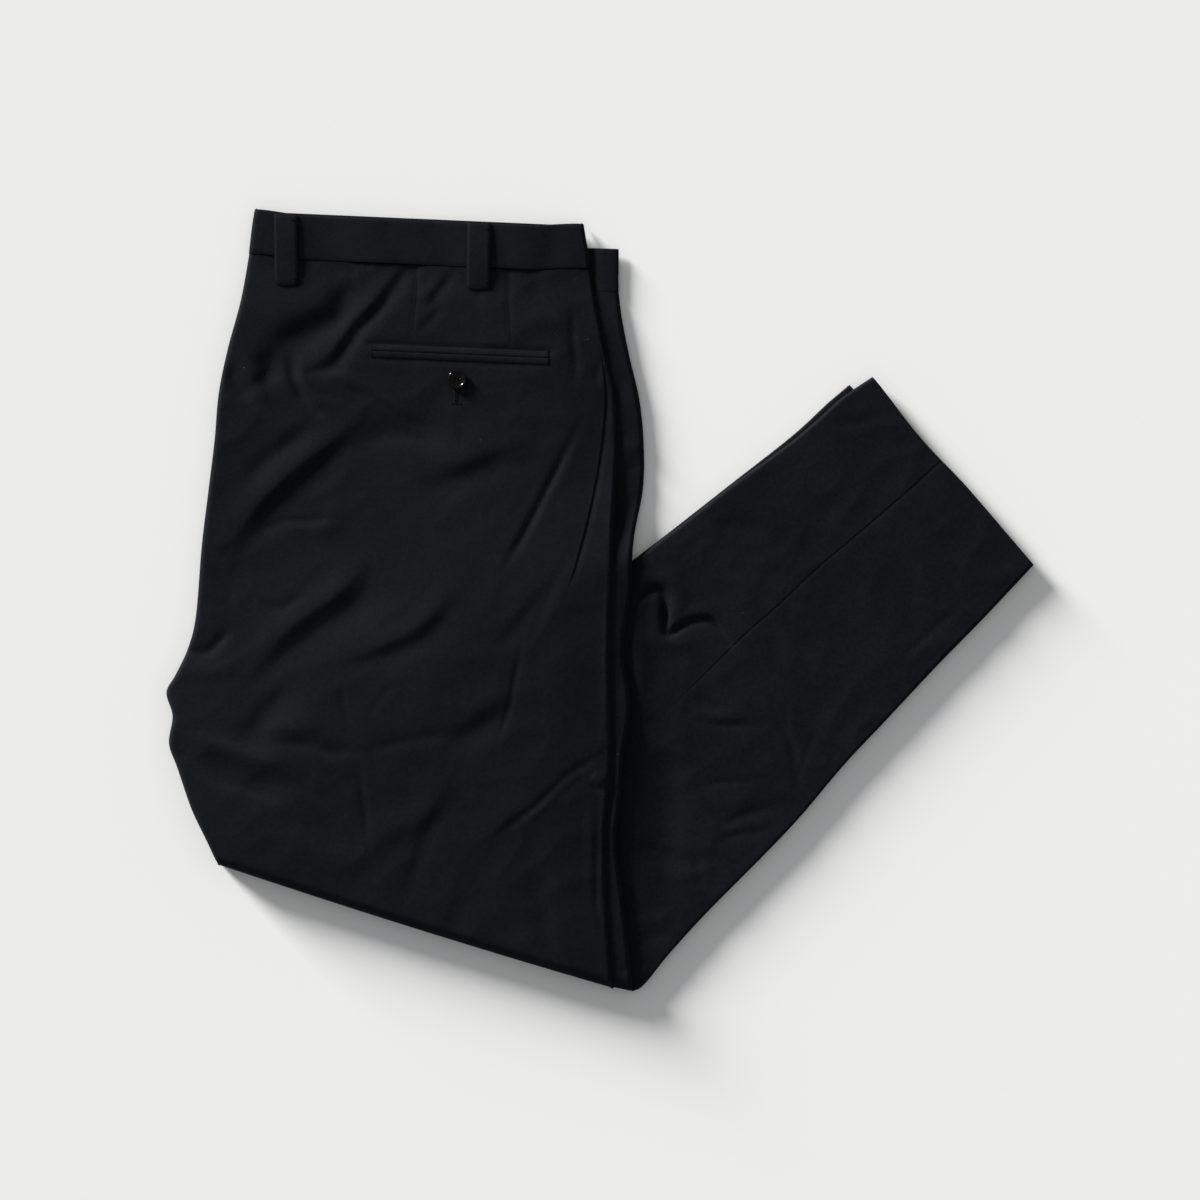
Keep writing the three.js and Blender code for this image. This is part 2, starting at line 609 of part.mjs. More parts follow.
// The near leg's shin: one flat leg on the surface, with rounded creases
const UNDER_EDGE = [
  { inset: 1.6, share: 0 },
  { inset: 0.3, share: 0.25 },
  { inset: 0, share: 0.5 },
  { inset: 0.3, share: 0.75 },
  { inset: 1.6, share: 1 },
];
function underLeg() {
  const end = UNDER.length - 1;
  const places = sectionPlaces(UNDER, "back", "front", 0, end, 2 * CELL).reverse();
  const rings = places.map((q) => {
    const width = distance(shinPlace(UNDER, q, 0), shinPlace(UNDER, q, 1));
    const at = (inset, share) => {
      const [x, y] = shinPlace(UNDER, q, inset / width);
      return new THREE.Vector3(x, y, share * UNDER_LEG);
    };
    const left = UNDER_EDGE.map(({ inset, share }) => at(inset, share));
    const right = UNDER_EDGE.slice().reverse().map(({ inset, share }) => at(width - inset, share));
    const middle = spread(0.1, 0.9, 9);
    const over = middle.map((share) => at(share * width, 1));
    const below = middle.slice().reverse().map((share) => at(share * width, 0));
    return [...left, ...over, ...right, ...below];
  });
  return loft(rings);
}

// The waistband's halves. The near one's ends start at these heights.
const BACK_FOOT = BAND_TOP / 2 + 0.2;
const FRONT_FOOT = BAND_CLOTH + 1;
const FAR_BEVEL = 0.6; // the bevel of the far half's ends
const bandPlaces = spread(0, BAND.length - 1, 5);
function nearBand() {
  const outer = bandPlaces.map((t) => {
    const left = columnPoint(BAND, "left", t);
    const near = columnPoint(BAND, "near", t);
    const width = distance(left, near);
    const insets = [
      ...roundInsets(BAND_RADIUS),
      ...spread(BAND_RADIUS, width - BAND_RADIUS, 20).slice(1, -1),
      ...roundInsets(BAND_RADIUS).reverse().map((inset) => width - inset),
    ];
    return insets.map((inset) => {
      const [x, straight] = along(left, near, inset / width);
      const y = straight - bandSag(x);
      const share = round(Math.min(inset, width - inset), BAND_RADIUS);
      const foot = inset < width / 2 ? BACK_FOOT : FRONT_FOOT;
      return new THREE.Vector3(x, y, mix(foot, BAND_TOP, share));
    });
  });
  const normals = gridNormals(outer, [0, outer[0].length - 1]);
  return { outer, inner: offsetRows(outer, normals, -BAND_CLOTH) };
}
function farBand() {
  const rows = (lift) =>
    bandPlaces.map((t) => {
      const left = columnPoint(BAND, "left", t);
      const middle = columnPoint(BAND, "mid", t);
      const far = columnPoint(BAND, "far", t);
      const places = [
        ...[0, 0.004, 0.2, 0.4, 0.6, 0.8, 1].map((share) => along(left, middle, share)),
        ...[0.5, 0.96, 1].map((share) => along(middle, far, share)),
      ];
      return places.map(([x, y], i) => {
        const bevel = i === 0 || i === places.length - 1 ? FAR_BEVEL : 0;
        return new THREE.Vector3(x, y, lift ? BAND_CLOTH - bevel : bevel);
      });
    });
  return wall(rows(true), rows(false));
}
// The room that the far waistband takes out of the layers beside it
function farBandRoom() {
  const last = BAND[BAND.length - 1];
  const clear = 2 * GAP;
  const room = new THREE.Shape([
    new THREE.Vector2(last.left[0] - LEG, last.left[1] - clear),
    new THREE.Vector2(last.left[0], last.left[1] - clear),
    new THREE.Vector2(last.mid[0], last.mid[1] - clear),
    new THREE.Vector2(last.far[0] + LEG, last.far[1] - clear),
    new THREE.Vector2(last.far[0] + LEG, BAND[0].left[1]),
    new THREE.Vector2(last.left[0] - LEG, BAND[0].left[1]),
  ]);
  const depth = BAND_CLOTH + GAP + 1;
  return new THREE.ExtrudeGeometry(room, { depth, bevelEnabled: false }).translate(0, 0, -1);
}
const band = nearBand();

// The layers inside the waistband, ending below its edge
const LAYERS_START = 0.55; // in sections of the band
const LAYERS_BEVEL = 0.6;
const LAYERS_SIDE = BAND_CLOTH + GAP + 1.6;
function waistLayers() {
  const rings = spread(LAYERS_START, BAND.length - 1, 4).map((t) => {
    const left = columnPoint(BAND, "left", t);
    const near = columnPoint(BAND, "near", t);
    const width = distance(left, near);
    const low = BAND_CLOTH + GAP;
    const high = BAND_TOP - BAND_CLOTH - GAP;
    const at = (inset, z) => {
      const [x, y] = along(left, near, inset / width);
      return new THREE.Vector3(x, y, z);
    };
    const insets = spread(LAYERS_SIDE + 1, width - LAYERS_SIDE - 1, 8);
    return [
      at(LAYERS_SIDE, low),
      at(LAYERS_SIDE, high - LAYERS_BEVEL),
      ...insets.map((inset) => at(inset, high)),
      at(width - LAYERS_SIDE, high - LAYERS_BEVEL),
      at(width - LAYERS_SIDE, low),
    ];
  });
  return loft(rings);
}

// The height of a grid of points under (x, y), on its own facets
function heightOn(grids, x, y) {
  for (const rows of grids)
    for (let j = 0; j + 1 < rows.length; j++)
      for (let i = 0; i + 1 < rows[0].length; i++) {
        const [a, b] = [rows[j][i], rows[j + 1][i]];
        const [c, d] = [rows[j + 1][i + 1], rows[j][i + 1]];
        for (const [p, q, r] of [[a, b, c], [a, c, d]]) {
          const area = (q.x - p.x) * (r.y - p.y) - (r.x - p.x) * (q.y - p.y);
          if (Math.abs(area) < 1e-9) continue;
          const s = ((x - p.x) * (r.y - p.y) - (r.x - p.x) * (y - p.y)) / area;
          const t = ((q.x - p.x) * (y - p.y) - (x - p.x) * (q.y - p.y)) / area;
          if (s >= -1e-6 && t >= -1e-6 && s + t <= 1 + 1e-6)
            return p.z + s * (q.z - p.z) + t * (r.z - p.z);
        }
      }
  return 0;
}

// A pocket welt: a narrow strip on the back panel, on one side of the pocket's mouth
function welt(side) {
  const across = [0, 0.2, 0.8, 1].map((share) => side * (GAP / 2 + share * WELT_HEIGHT));
  if (side > 0) across.reverse();
  const rows = (lift) =>
    across.map((dy, j) =>
      spread(-POCKET_LENGTH / 2, POCKET_LENGTH / 2, 11).map((dx) => {
        const x = POCKET_MIDDLE[0] + dx;
        const y = POCKET_MIDDLE[1] + dx * POCKET_SLOPE + dy;
        const rounded = j === 0 || j === 3 ? SOFT_EDGE : 0;
        const z = heightOn([backOuter], x, y) + GAP + LAID;
        return new THREE.Vector3(x, y, z + (lift ? WELT_CLOTH - rounded : 0));
      }),
    );
  return wall(rows(true), rows(false));
}

// A belt loop: a strip from the band's edge to below its seam, bowed off the band. It lies down
// again just above its lower end, and its bow is fuller than half a wave.
const LOOP_LOW = 1.05;
const LOOP_FULL = 0.8;
function beltLoop({ top, bottom }) {
  const places = spread(0, 1, 10);
  const across = [0, 0.12, 0.88, 1];
  const rest = places.map((t) => {
    const [x, y] = along(top, bottom, t);
    const edges = [-LOOP_WIDTH / 2, 0, LOOP_WIDTH / 2];
    const under = edges.map((dx) => heightOn([band.outer, backOuter], x + dx, y));
    return Math.max(...under);
  });
  const rows = (lift) =>
    places.map((t, k) => {
      const [x, y] = along(top, bottom, t);
      return across.map((share, i) => {
        const bow = LOOP_BOW * Math.sin(Math.PI * Math.min(1, t * LOOP_LOW)) ** LOOP_FULL;
        const rounded = i === 0 || i === 3 ? SOFT_EDGE : 0;
        const near = Math.max(...rest.slice(Math.max(0, k - 1), k + 2));
        const z = near + GAP + 2 * LAID + bow;
        return new THREE.Vector3(
          x + (share - 0.5) * LOOP_WIDTH,
          y,
          z + (lift ? LOOP_CLOTH - rounded : 0),
        );
      });
    });
  return wall(rows(true), rows(false));
}

// Cutting with manifold-3d
const wasm = await Module();
wasm.setup();
function solid(geometry) {
  const bare = geometry.clone();
  bare.deleteAttribute("normal");
  bare.deleteAttribute("uv");
  const merged = mergeVertices(bare, 1e-4);
  return new wasm.Manifold(
    new wasm.Mesh({
      numProp: 3,
      vertProperties: merged.attributes.position.array,
      triVerts: new Uint32Array(merged.index.array),
    }),
  );
}
function cut(geometry, tools) {
  const mesh = tools.reduce((made, tool) => made.subtract(solid(tool)), solid(geometry)).getMesh();
  const made = new THREE.BufferGeometry();
  made.setAttribute("position", new THREE.BufferAttribute(mesh.vertProperties, 3));
  made.setIndex(new THREE.BufferAttribute(mesh.triVerts, 1));
  made.computeVertexNormals();
  return made;
}

// The pocket's button: a rim round a dished middle, with four holes
function button() {
  const profile = [
    { radius: 0, height: 0 },
    { radius: 5.6, height: 0 },
    { radius: 7.1, height: 0.8 },
    { radius: BUTTON_RADIUS, height: 1.7 },
    { radius: 7, height: 2.7 },
    { radius: 6.1, height: BUTTON_HEIGHT },
    { radius: 5.2, height: 2.6 },
    { radius: 4.6, height: 2 },
    { radius: 0, height: 1.8 },
  ].map(({ radius, height }) => new THREE.Vector2(radius, height));
  const disc = new THREE.LatheGeometry(profile, 24).rotateX(Math.PI / 2);
  const holes = [0.5, 1.5, 2.5, 3.5].map((turn) => {
    const hole = new THREE.CylinderGeometry(BUTTON_HOLE, BUTTON_HOLE, 3 * BUTTON_HEIGHT, 8);
    const angle = (turn * Math.PI) / 2;
    hole.rotateX(Math.PI / 2);
    const reach = BUTTON_HOLE_REACH;
    return hole.translate(reach * Math.cos(angle), reach * Math.sin(angle), 0);
  });
  return cut(disc, holes);
}

const group = new THREE.Group();
group.name = "dress_trousers";
function piece(name, geometry, color, roughness = 0.9) {
  const material = new THREE.MeshStandardMaterial({ color, roughness, metalness: 0 });
  const mesh = new THREE.Mesh(geometry, material);
  mesh.name = name;
  group.add(mesh);
  return mesh;
}
const panel = (outer, normals) => wall(outer, offsetRows(outer, normals, -CLOTH));

piece("waistband_near", wall(band.outer, band.inner), CLOTH_COLOUR);
piece("waistband_far", farBand(), CLOTH_COLOUR);
piece("waist_inner_layers", waistLayers(), LAYER_COLOUR);
piece("back_panel_near", panel(backOuter, backNormals), CLOTH_COLOUR);
piece("front_panel_near", panel(frontOuter, frontNormals), CLOTH_COLOUR);
piece("front_panel_far", panel(stripOuter, stripNormals), CLOTH_COLOUR);
piece("thigh_inner_layers", cut(thighLayers(), [farBandRoom()]), LAYER_COLOUR);
piece("shin_back_panel", panel(shinBackOuter, shinBackNormals), SHIN_COLOUR);
piece("shin_front_panel", panel(shinFrontOuter, shinFrontNormals), SHIN_COLOUR);
piece("shin_inner_layers", shinLayers(), LAYER_COLOUR);
piece("shin_under_leg", underLeg(), SHIN_COLOUR);
piece("pocket_welt_upper", welt(1), CLOTH_COLOUR);
piece("pocket_welt_lower", welt(-1), CLOTH_COLOUR);
for (const loop of LOOPS) piece(loop.name, beltLoop(loop), CLOTH_COLOUR);
const pocketButton = piece("pocket_button", button(), HORN_COLOUR, 0.25);
pocketButton.position.set(
  BUTTON_PLACE[0],
  BUTTON_PLACE[1],
  heightOn([backOuter], ...BUTTON_PLACE) + GAP + 3 * LAID,
);

export default group;
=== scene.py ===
import math

import bmesh
import bpy
import numpy as np
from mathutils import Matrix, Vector, noise
from mathutils.bvhtree import BVHTree


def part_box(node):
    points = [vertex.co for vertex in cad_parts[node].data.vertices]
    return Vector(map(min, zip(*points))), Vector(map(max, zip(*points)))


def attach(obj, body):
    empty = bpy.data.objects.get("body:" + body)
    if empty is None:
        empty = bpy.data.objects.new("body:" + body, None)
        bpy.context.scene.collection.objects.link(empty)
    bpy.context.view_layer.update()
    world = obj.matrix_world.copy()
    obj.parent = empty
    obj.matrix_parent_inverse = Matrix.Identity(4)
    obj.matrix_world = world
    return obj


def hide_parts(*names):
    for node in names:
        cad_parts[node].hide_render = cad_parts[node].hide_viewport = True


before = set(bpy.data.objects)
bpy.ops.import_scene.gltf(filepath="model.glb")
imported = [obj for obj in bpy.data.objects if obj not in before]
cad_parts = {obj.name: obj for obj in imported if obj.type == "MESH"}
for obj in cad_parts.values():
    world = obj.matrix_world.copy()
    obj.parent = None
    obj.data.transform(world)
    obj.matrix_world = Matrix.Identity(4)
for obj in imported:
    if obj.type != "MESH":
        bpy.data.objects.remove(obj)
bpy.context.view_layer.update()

MM = 0.001
PIXEL = 0.769  # the millimetres in a pixel of the photograph, at the cloth
PHOTO = 1200  # its width in pixels
CAMERA_HEIGHT = 2400  # over the cloth
CAMERA_X = -0.4
CLOTH_LEVEL = 5  # where its outline is
SENSOR = 36

# The camera looks straight down
camera_data = bpy.data.cameras.new("camera")
camera_data.sensor_width = SENSOR
camera_data.lens = SENSOR * CAMERA_HEIGHT / (PHOTO * PIXEL)
camera_data.clip_end = 50
camera = bpy.data.objects.new("camera", camera_data)
camera.location = (CAMERA_X * MM, 0, (CAMERA_HEIGHT + CLOTH_LEVEL) * MM)
bpy.context.scene.collection.objects.link(camera)
bpy.context.scene.camera = camera

# The cloth's thicknesses and the heights of the stack, as in the CAD
SHELL = 0.8
GAP = 0.3
SEAM_GAP = 0.04  # between two panels sewn together
LEG = 5
UNDER_LEG = 3.7
SHIN_TOP = 8
BAND_TOP = 8.4
BAND_CLOTH = 2.2
BAND_WALL = 1.9
FLOOR = 0.02  # the lowest height of the cloth
SEAM_DROP = 2.4  # how much lower the legs lie at the waistband's seam
SEAM_RISE = 45  # how far from it they have their full height
TENT = 130  # how far the shin under them lifts the legs, at the left and at its edge
TENT_AT_EDGE = 40
NEAR_TENT = 190  # the same for the near leg, on top
NEAR_TENT_AT_EDGE = 85
TENT_WIDENS = 120
KNEE_BOW = 1.6
KNEE_WAY = (-0.29, -0.957)
BAND_SAG = 2.8
FOLD_RADIUS = 4
STRIP_RADIUS = 4
SHIN_RADIUS = 3
BAND_RADIUS = 3.5
KNEE_RADIUS = 8
KNEE_STEP = 9.5
STRIP_START = 0.68
EDGE_THINNER = 1.9  # how much thinner the near leg is at its right edge
EDGE_REACH = 42
DRAWN_IN = 0.72  # how wide the far leg still is beside the shin, under its strip
LOBE_START = 0.4  # how far in the far leg's folded edge starts
LOBE_RADIUS = 2.2
LAYER_STEP = 1.6  # from a leg's outer face to the layers inside it
TUCK = 6
TUCK_GAP = 1.4
HEM_BOW = 2.2
MOUTH_START = 196  # the side pocket's mouth, in the side seam
MOUTH_END = 8
MOUTH_DIP = 0.75  # how deep the front dips there
SEWN_DIP = 0.03  # and where the seam is sewn
DIP_REACH = 7
SHIN_DIPS = (0.04, 0.32)  # the same at the shin, beside the thigh and at the hem
SHIN_DIP_REACH = 4
EDGE_FOOT = 1.1  # how high a leg's folded edge starts over what it lies on
BAND_END_DROP = 1.8  # how much lower the near waistband lies at its right end
BAND_END_REACH = 45
FAR_BAND_LIFT = 2.2  # how much higher the far waistband lies where it comes out
HEM_PLY = 0.6
HEM_PLY_TOP = 6.1
BUTTON_PLACE = (-110, 169)
POCKET_MIDDLE = (-108, 188.5)
POCKET_SLOPE = -0.042
POCKET_LENGTH = 137
WELT_HEIGHT = 5
LOOP_WIDTH = 18
LOOP_LENGTH = 52
LOOP_CORNER = 1.6  # the radius of the lower corners
LOOP_BOW = 0.9  # how far its middle stands off
LOOP_CLOTH = 1.1
BACK_LOOP = ((-241.8, 296.5), (-241, 242))  # the middles of its top and its bottom
SIDE_LOOP = ((-93.2, 290), (-94, 239))

# The grids of the cloth
CELL = 1.85
BACK_COLUMNS = 138
FRONT_COLUMNS = 78
SHIN_BACK_COLUMNS = 58
SHIN_FRONT_COLUMNS = 82
BAND_COLUMNS = 110


def table(names, rows):
    """The columns of a table, by name."""
    return {name: np.array([row[i] for row in rows], float) for i, name in enumerate(names)}


# Sections across the cloth, from the waist down to the knee and from there to the hem. The points are in
# millimetres from the picture's middle. The side seam is an x on the thigh and a share of the way across on
# the shin
BAND = table(("left", "near", "mid", "far"), [
    ((-266, 300.3), (-13, 289.2), (-12, 271), (14, 270)),
    ((-268, 288), (-11, 277), (-12, 259.5), (14, 258.5)),
    ((-269.3, 277), (-9, 265.3), (-12, 248), (13.8, 247)),
    ((-270.5, 266.2), (-8, 254.8), (-12, 236.6), (14, 236.2)),
])
THIGH = table(("left", "near", "far", "seam"), [
    ((-270.3, 265.2), (-8, 253.8), (14.2, 235), -11),
    ((-276.6, 230), (-4, 227), (16.5, 217), -7.5),
    ((-286.8, 192), (3, 192), (22.2, 188), -0.5),
    ((-293.6, 158), (11, 157), (30, 154), 3),
    ((-296.7, 123), (13, 122), (33.3, 119), 0.5),
    ((-301.3, 85), (12, 87), (32.6, 85), -5),
    ((-306.5, 42), (10, 48), (25.5, 46), -14),
    ((-311, -12), (8, 4), (23, 2), -28),
    ((-317, -37), (7, -31), (18.5, -31), -48),
    ((-326.3, -57), (7, -52), (19, -52), -66),
    ((-333.5, -71), (8, -73), (22.5, -73), -71),
    ((-328.7, -89), (8, -95), (22, -95), -75),
    ((-331.4, -110), (8, -121), (17.5, -122), -83),
    ((-324.8, -129), (6, -145), (16, -146), -99),
    ((-314, -160), (3, -186), (13, -187), -125),
    ((-304, -181), (5, -241), (19, -242), -143),
    ((-299, -191.5), (8, -286), (24, -290), -153),
    ((-293.8, -203), (9.5, -298), (25.6, -301.3), -156),
])
SHIN = table(("back", "front", "seam"), [
    ((18, 26), (22, -300.3), 0.42),
    ((31.4, 34.5), (32, -297.5), 0.42),
    ((46.7, 46), (51.2, -274), 0.415),
    ((73.4, 66.5), (81.2, -241), 0.41),
    ((100.2, 87.7), (127.9, -193.9), 0.4),
    ((124, 105), (155, -165), 0.4),
    ((149.5, 124), (188, -126), 0.4),
    ((169.5, 141), (220, -92), 0.41),
    ((183.5, 154), (258.7, -50.7), 0.425),
    ((196.5, 163.3), (296.8, -11.8), 0.43),
    ((209, 171.5), (333, 26.8), 0.433),
])
UNDER = table(("back", "front"), [
    ((18, 27), (22, -299.3)),
    ((31, 35.6), (32, -296.5)),
    ((46.3, 47), (51, -273)),
    ((99.8, 88.9), (127, -193)),
    ((147.8, 126.6), (187, -125)),
    ((175.6, 152.2), (257.5, -49.5)),
    ((191.5, 165.6), (326, 25)),
])

# The shin's upper edge, from the knee's corner to where it comes out from under the legs
KNEE_CORNER = np.array((-293, -202))
SHIN_SHOWS = np.array((23.5, 30))

# Folds: the reach to the left and to the right of the path, the height, the share of it that is left at
# the path's start and at its end, and the path's points
FOLD_SCALE = 0.72  # of the heights
FADE = 0.35  # the share of a path over which an end fades
THIGH_FOLDS = [
    # From the waistband down over the hip
    (17, 10, -4.9, 0.3, 0.4, (-188, 246), (-197, 231), (-204, 217), (-222, 208), (-239, 199), (-251, 185)),
    (9, 6, 0.5, 0.2, 0.3, (-180, 240), (-187, 228), (-194, 213), (-210, 202), (-225, 190), (-229, 179)),
    (5, 8, 1.1, 0.5, 0.3, (-160, 244), (-178, 224), (-194, 206), (-208, 191), (-222, 180)),
    (7, 4, -2.9, 0.45, 0.3, (-147, 256), (-158, 242), (-171, 224), (-187, 208), (-197, 193),
     (-208, 179), (-224, 173)),
    (7, 5, 1.0, 0.8, 0, (-176, 256), (-190, 247), (-205, 246)),
    (10, 7, -1.8, 0.2, 0, (-258, 193), (-256, 174), (-262, 155)),
    (9, 6, -3.0, 0.3, 0.2, (-290, 181), (-279, 165), (-268, 151)),
    (6, 8, 1.2, 0, 0, (-276, 186), (-266, 168), (-254, 152)),
    (4, 4, -0.9, 0.5, 0, (-112, 252), (-125, 235), (-135, 222)),
    (4, 3, -0.8, 0, 0, (-119, 227), (-131, 214), (-141, 204)),
    (4, 6, 0.8, 0.5, 0, (-118, 252), (-132, 236), (-139, 226)),
    (5, 7, -0.9, 0.6, 0, (-52, 249), (-45, 228), (-28, 214)),
    (6, 6, -0.6, 0, 0, (-92, 248), (-96, 226), (-88, 208)),
    # The pinch beside the pocket and what runs from it
    (6, 4, -2.6, 0, 0.4, (-240, 193), (-236, 172), (-229, 156), (-218, 145)),
    (4, 6, 1.5, 0, 0.2, (-234, 186), (-228, 167), (-218, 154), (-199, 145)),
    (5, 9, 1.6, 0.5, 0, (-226, 170), (-206, 171), (-182, 164), (-156, 146), (-122, 132)),
    (7, 4, -1.2, 0, 0, (-198, 165), (-170, 152), (-146, 137), (-120, 130)),
    # Across the seat
    (6, 13, 2.9, 0.2, 0.3, (-186, 139), (-205, 123), (-227, 106), (-248, 88), (-267, 69), (-282, 48)),
    (14, 7, -2.0, 0.3, 0.2, (-184, 126), (-204, 112), (-226, 94), (-247, 76), (-262, 54), (-277, 32)),
    (13, 8, -2.2, 0.3, 0, (-190, 119), (-168, 126), (-143, 127), (-112, 122)),
    (7, 7, -1.5, 0, 0, (-279, 80), (-263, 100), (-242, 118), (-214, 137)),
    (13, 8, -2.0, 0, 0, (-60, 118), (-85, 103), (-104, 94), (-125, 86), (-146, 85)),
    (9, 14, 1.8, 0, 0, (-38, 132), (-84, 114), (-112, 107), (-150, 107)),
    (3, 4, -0.9, 0.2, 0, (-265, 50), (-250, 59), (-231, 61), (-190, 62)),
    (7, 10, 1.0, 0, 0, (-225, 47), (-206, 62), (-200, 84)),
    (5, 5, -0.6, 0.3, 0, (-300, 22), (-284, 4), (-288, -14)),
    # Over the thigh and into the crotch
    (6, 12, 2.6, 0, 0.2, (-176, 44), (-186, 24), (-199, 8), (-221, -8), (-245, -26), (-265, -50)),
    (14, 7, -2.2, 0, 0.2, (-166, 34), (-178, 8), (-198, -10), (-222, -28), (-250, -50), (-270, -72)),
    (7, 13, 2.0, 0, 0.1, (-112, 24), (-122, 0), (-140, -20), (-166, -33), (-198, -45)),
    (10, 6, -1.3, 0, 0, (-110, 6), (-126, -20), (-150, -36), (-180, -47), (-210, -54)),
    (4, 4, -1.7, 0.9, 0, (-317, -39), (-302, -40), (-291, -30), (-282, -20)),
    (3, 4, -0.8, 0, 0, (-262, -2), (-243, -6), (-224, 7)),
    (5, 8, 1.3, 0.6, 0, (-318, -52), (-296, -54), (-272, -46)),
    (13, 9, -2.6, 0.1, 0.3, (-232, -64), (-252, -82), (-266, -100), (-288, -108)),
    (7, 9, 2.9, 0.5, 0, (-326, -84), (-306, -107), (-283, -115), (-254, -124), (-221, -138)),
    (15, 6, -3.0, 0.6, 0, (-318, -117), (-291, -136), (-265, -145), (-235, -155)),
    (4, 5, -0.8, 0, 0, (-186, -116), (-140, -106), (-98, -100)),
    (5, 5, -0.7, 0, 0, (-20, 40), (-40, 2), (-56, -40)),
    (7, 5, -0.8, 0, 0, (-34, 20), (-58, -14), (-86, -44)),
    (6, 4, -1.4, 0.2, 0, (-258, -108), (-228, -111), (-202, -117), (-176, -116)),
    (9, 9, 1.3, 0, 0, (-262, -98), (-236, -96), (-206, -92)),
    (3, 3, -0.6, 0, 0, (-199, -62), (-197, -80), (-190, -98)),
    (3, 3, -0.6, 0, 0, (-180, -94), (-168, -76), (-154, -60)),
    (3, 3, -0.6, 0, 0, (-188, -112), (-180, -163), (-176, -204)),
    (8, 10, 1.3, 0, 0, (-117, -128), (-133, -162), (-162, -178), (-192, -198)),
    (8, 5, -0.9, 0, 0, (-113, -152), (-134, -180), (-150, -231)),
    (11, 7, -1.7, 0, 0, (-72, -78), (-82, -90), (-103, -104), (-124, -116)),
    (8, 10, 1.0, 0, 0, (-66, -66), (-88, -82), (-112, -94)),
    (3, 3, -0.7, 0, 0, (-58, -22), (-63, -48), (-70, -82), (-82, -120)),
    # By the right edge
    (4, 14, 0.8, 0.6, 0, (-7, -119), (-27, -130), (-50, -151), (-79, -174), (-100, -200)),
    (3.4, 3, -0.55, 0.8, 0.2, (-6, -122), (-26, -134), (-48, -156), (-78, -178), (-94, -189)),
    (3, 3, 0.5, 0.8, 0, (-4, -127), (-25, -139), (-47, -161), (-76, -183)),
    (2.4, 3, -1.1, 0, 0.2, (-22, 229), (-21, 207), (-19, 178), (-20, 161)),
    (3.6, 2.6, -1.9, 0.1, 0, (-14, 140), (-31, 106), (-48, 72), (-60, 49), (-72, 28), (-82, 10)),
    (5, 6, 0.4, 0, 0, (-12, 132), (-26, 106), (-40, 74), (-52, 46)),
    (2.4, 2.4, -0.7, 0, 0, (1, 189), (-2, 176), (-4, 163)),
    (2.4, 2.4, 0.4, 0, 0.3, (6, 31), (4, -37), (3, -93), (-2, -116), (-7, -127)),
    (3.4, 3.4, 1.5, 0.2, 0.2, (-8, -134), (-1, -138), (3, -141)),
    (2.4, 2.4, -1.1, 0.2, 0.2, (-9, -141), (-2, -145), (3, -147)),
    (2.2, 2.2, -0.7, 0.3, 0, (-1, -150), (-2, -185), (-3, -234), (4, -268)),
    (3, 3, 0.5, 0.2, 0, (-7, -148), (-8, -176), (-9, -236)),
    # Near the knee
    (9, 12, 0.9, 0, 0, (-256, -176), (-206, -196), (-160, -206)),
    (12, 9, -0.9, 0, 0.4, (-60, -206), (-44, -236), (-40, -268)),
    (10, 8, -0.8, 0, 0.5, (-104, -222), (-112, -244), (-110, -262)),
    # The darts, sewn into the waistband
    (2, 1.8, -0.7, 1, 0.3, (-142, 259), (-142, 232), (-145, 206)),
    (2, 1.8, -0.7, 1, 0.3, (-71, 256), (-71, 226), (-70, 197)),
    # Round the pocket's welts
    (2, 2, -0.95, 1, 1, (-178, 196.6), (-108, 193.6), (-38, 190.6)),
    (1.9, 1.9, -0.5, 1, 1, (-178, 185.4), (-108, 182.4), (-38, 179.4)),
]
BAND_FOLDS = [
    (14, 16, -1.2, 1, 1, (-212, 304), (-209, 280), (-204, 258)),
    (12, 16, 0.9, 1, 1, (-176, 300), (-173, 276), (-166, 252)),
    (12, 13, -0.9, 1, 1, (-124, 296), (-119, 272), (-117, 250)),
    (10, 12, 0.8, 1, 1, (-64, 294), (-61, 270), (-56, 248)),
    (9, 9, -0.7, 1, 1, (-34, 294), (-38, 270), (-36, 248)),
]
STRIP_FOLDS = [
    (5, 6, 0.9, 0, 0, (36, 124), (28, 119), (18, 112)),
    (4, 5, -0.9, 0, 0, (34, 108), (24, 101), (14, 98)),
    (4, 4, -0.7, 0, 0, (24, 176), (16, 166), (12, 150)),
    (3, 3, 0.9, 0, 0, (13, -93), (16, -145), (9, -179), (11, -206)),
    (3, 3, -0.8, 0, 0, (20, 40), (19, -20), (16, -70)),
    (4, 3, -0.8, 0, 0, (26, -276), (18, -284), (12, -282)),
]
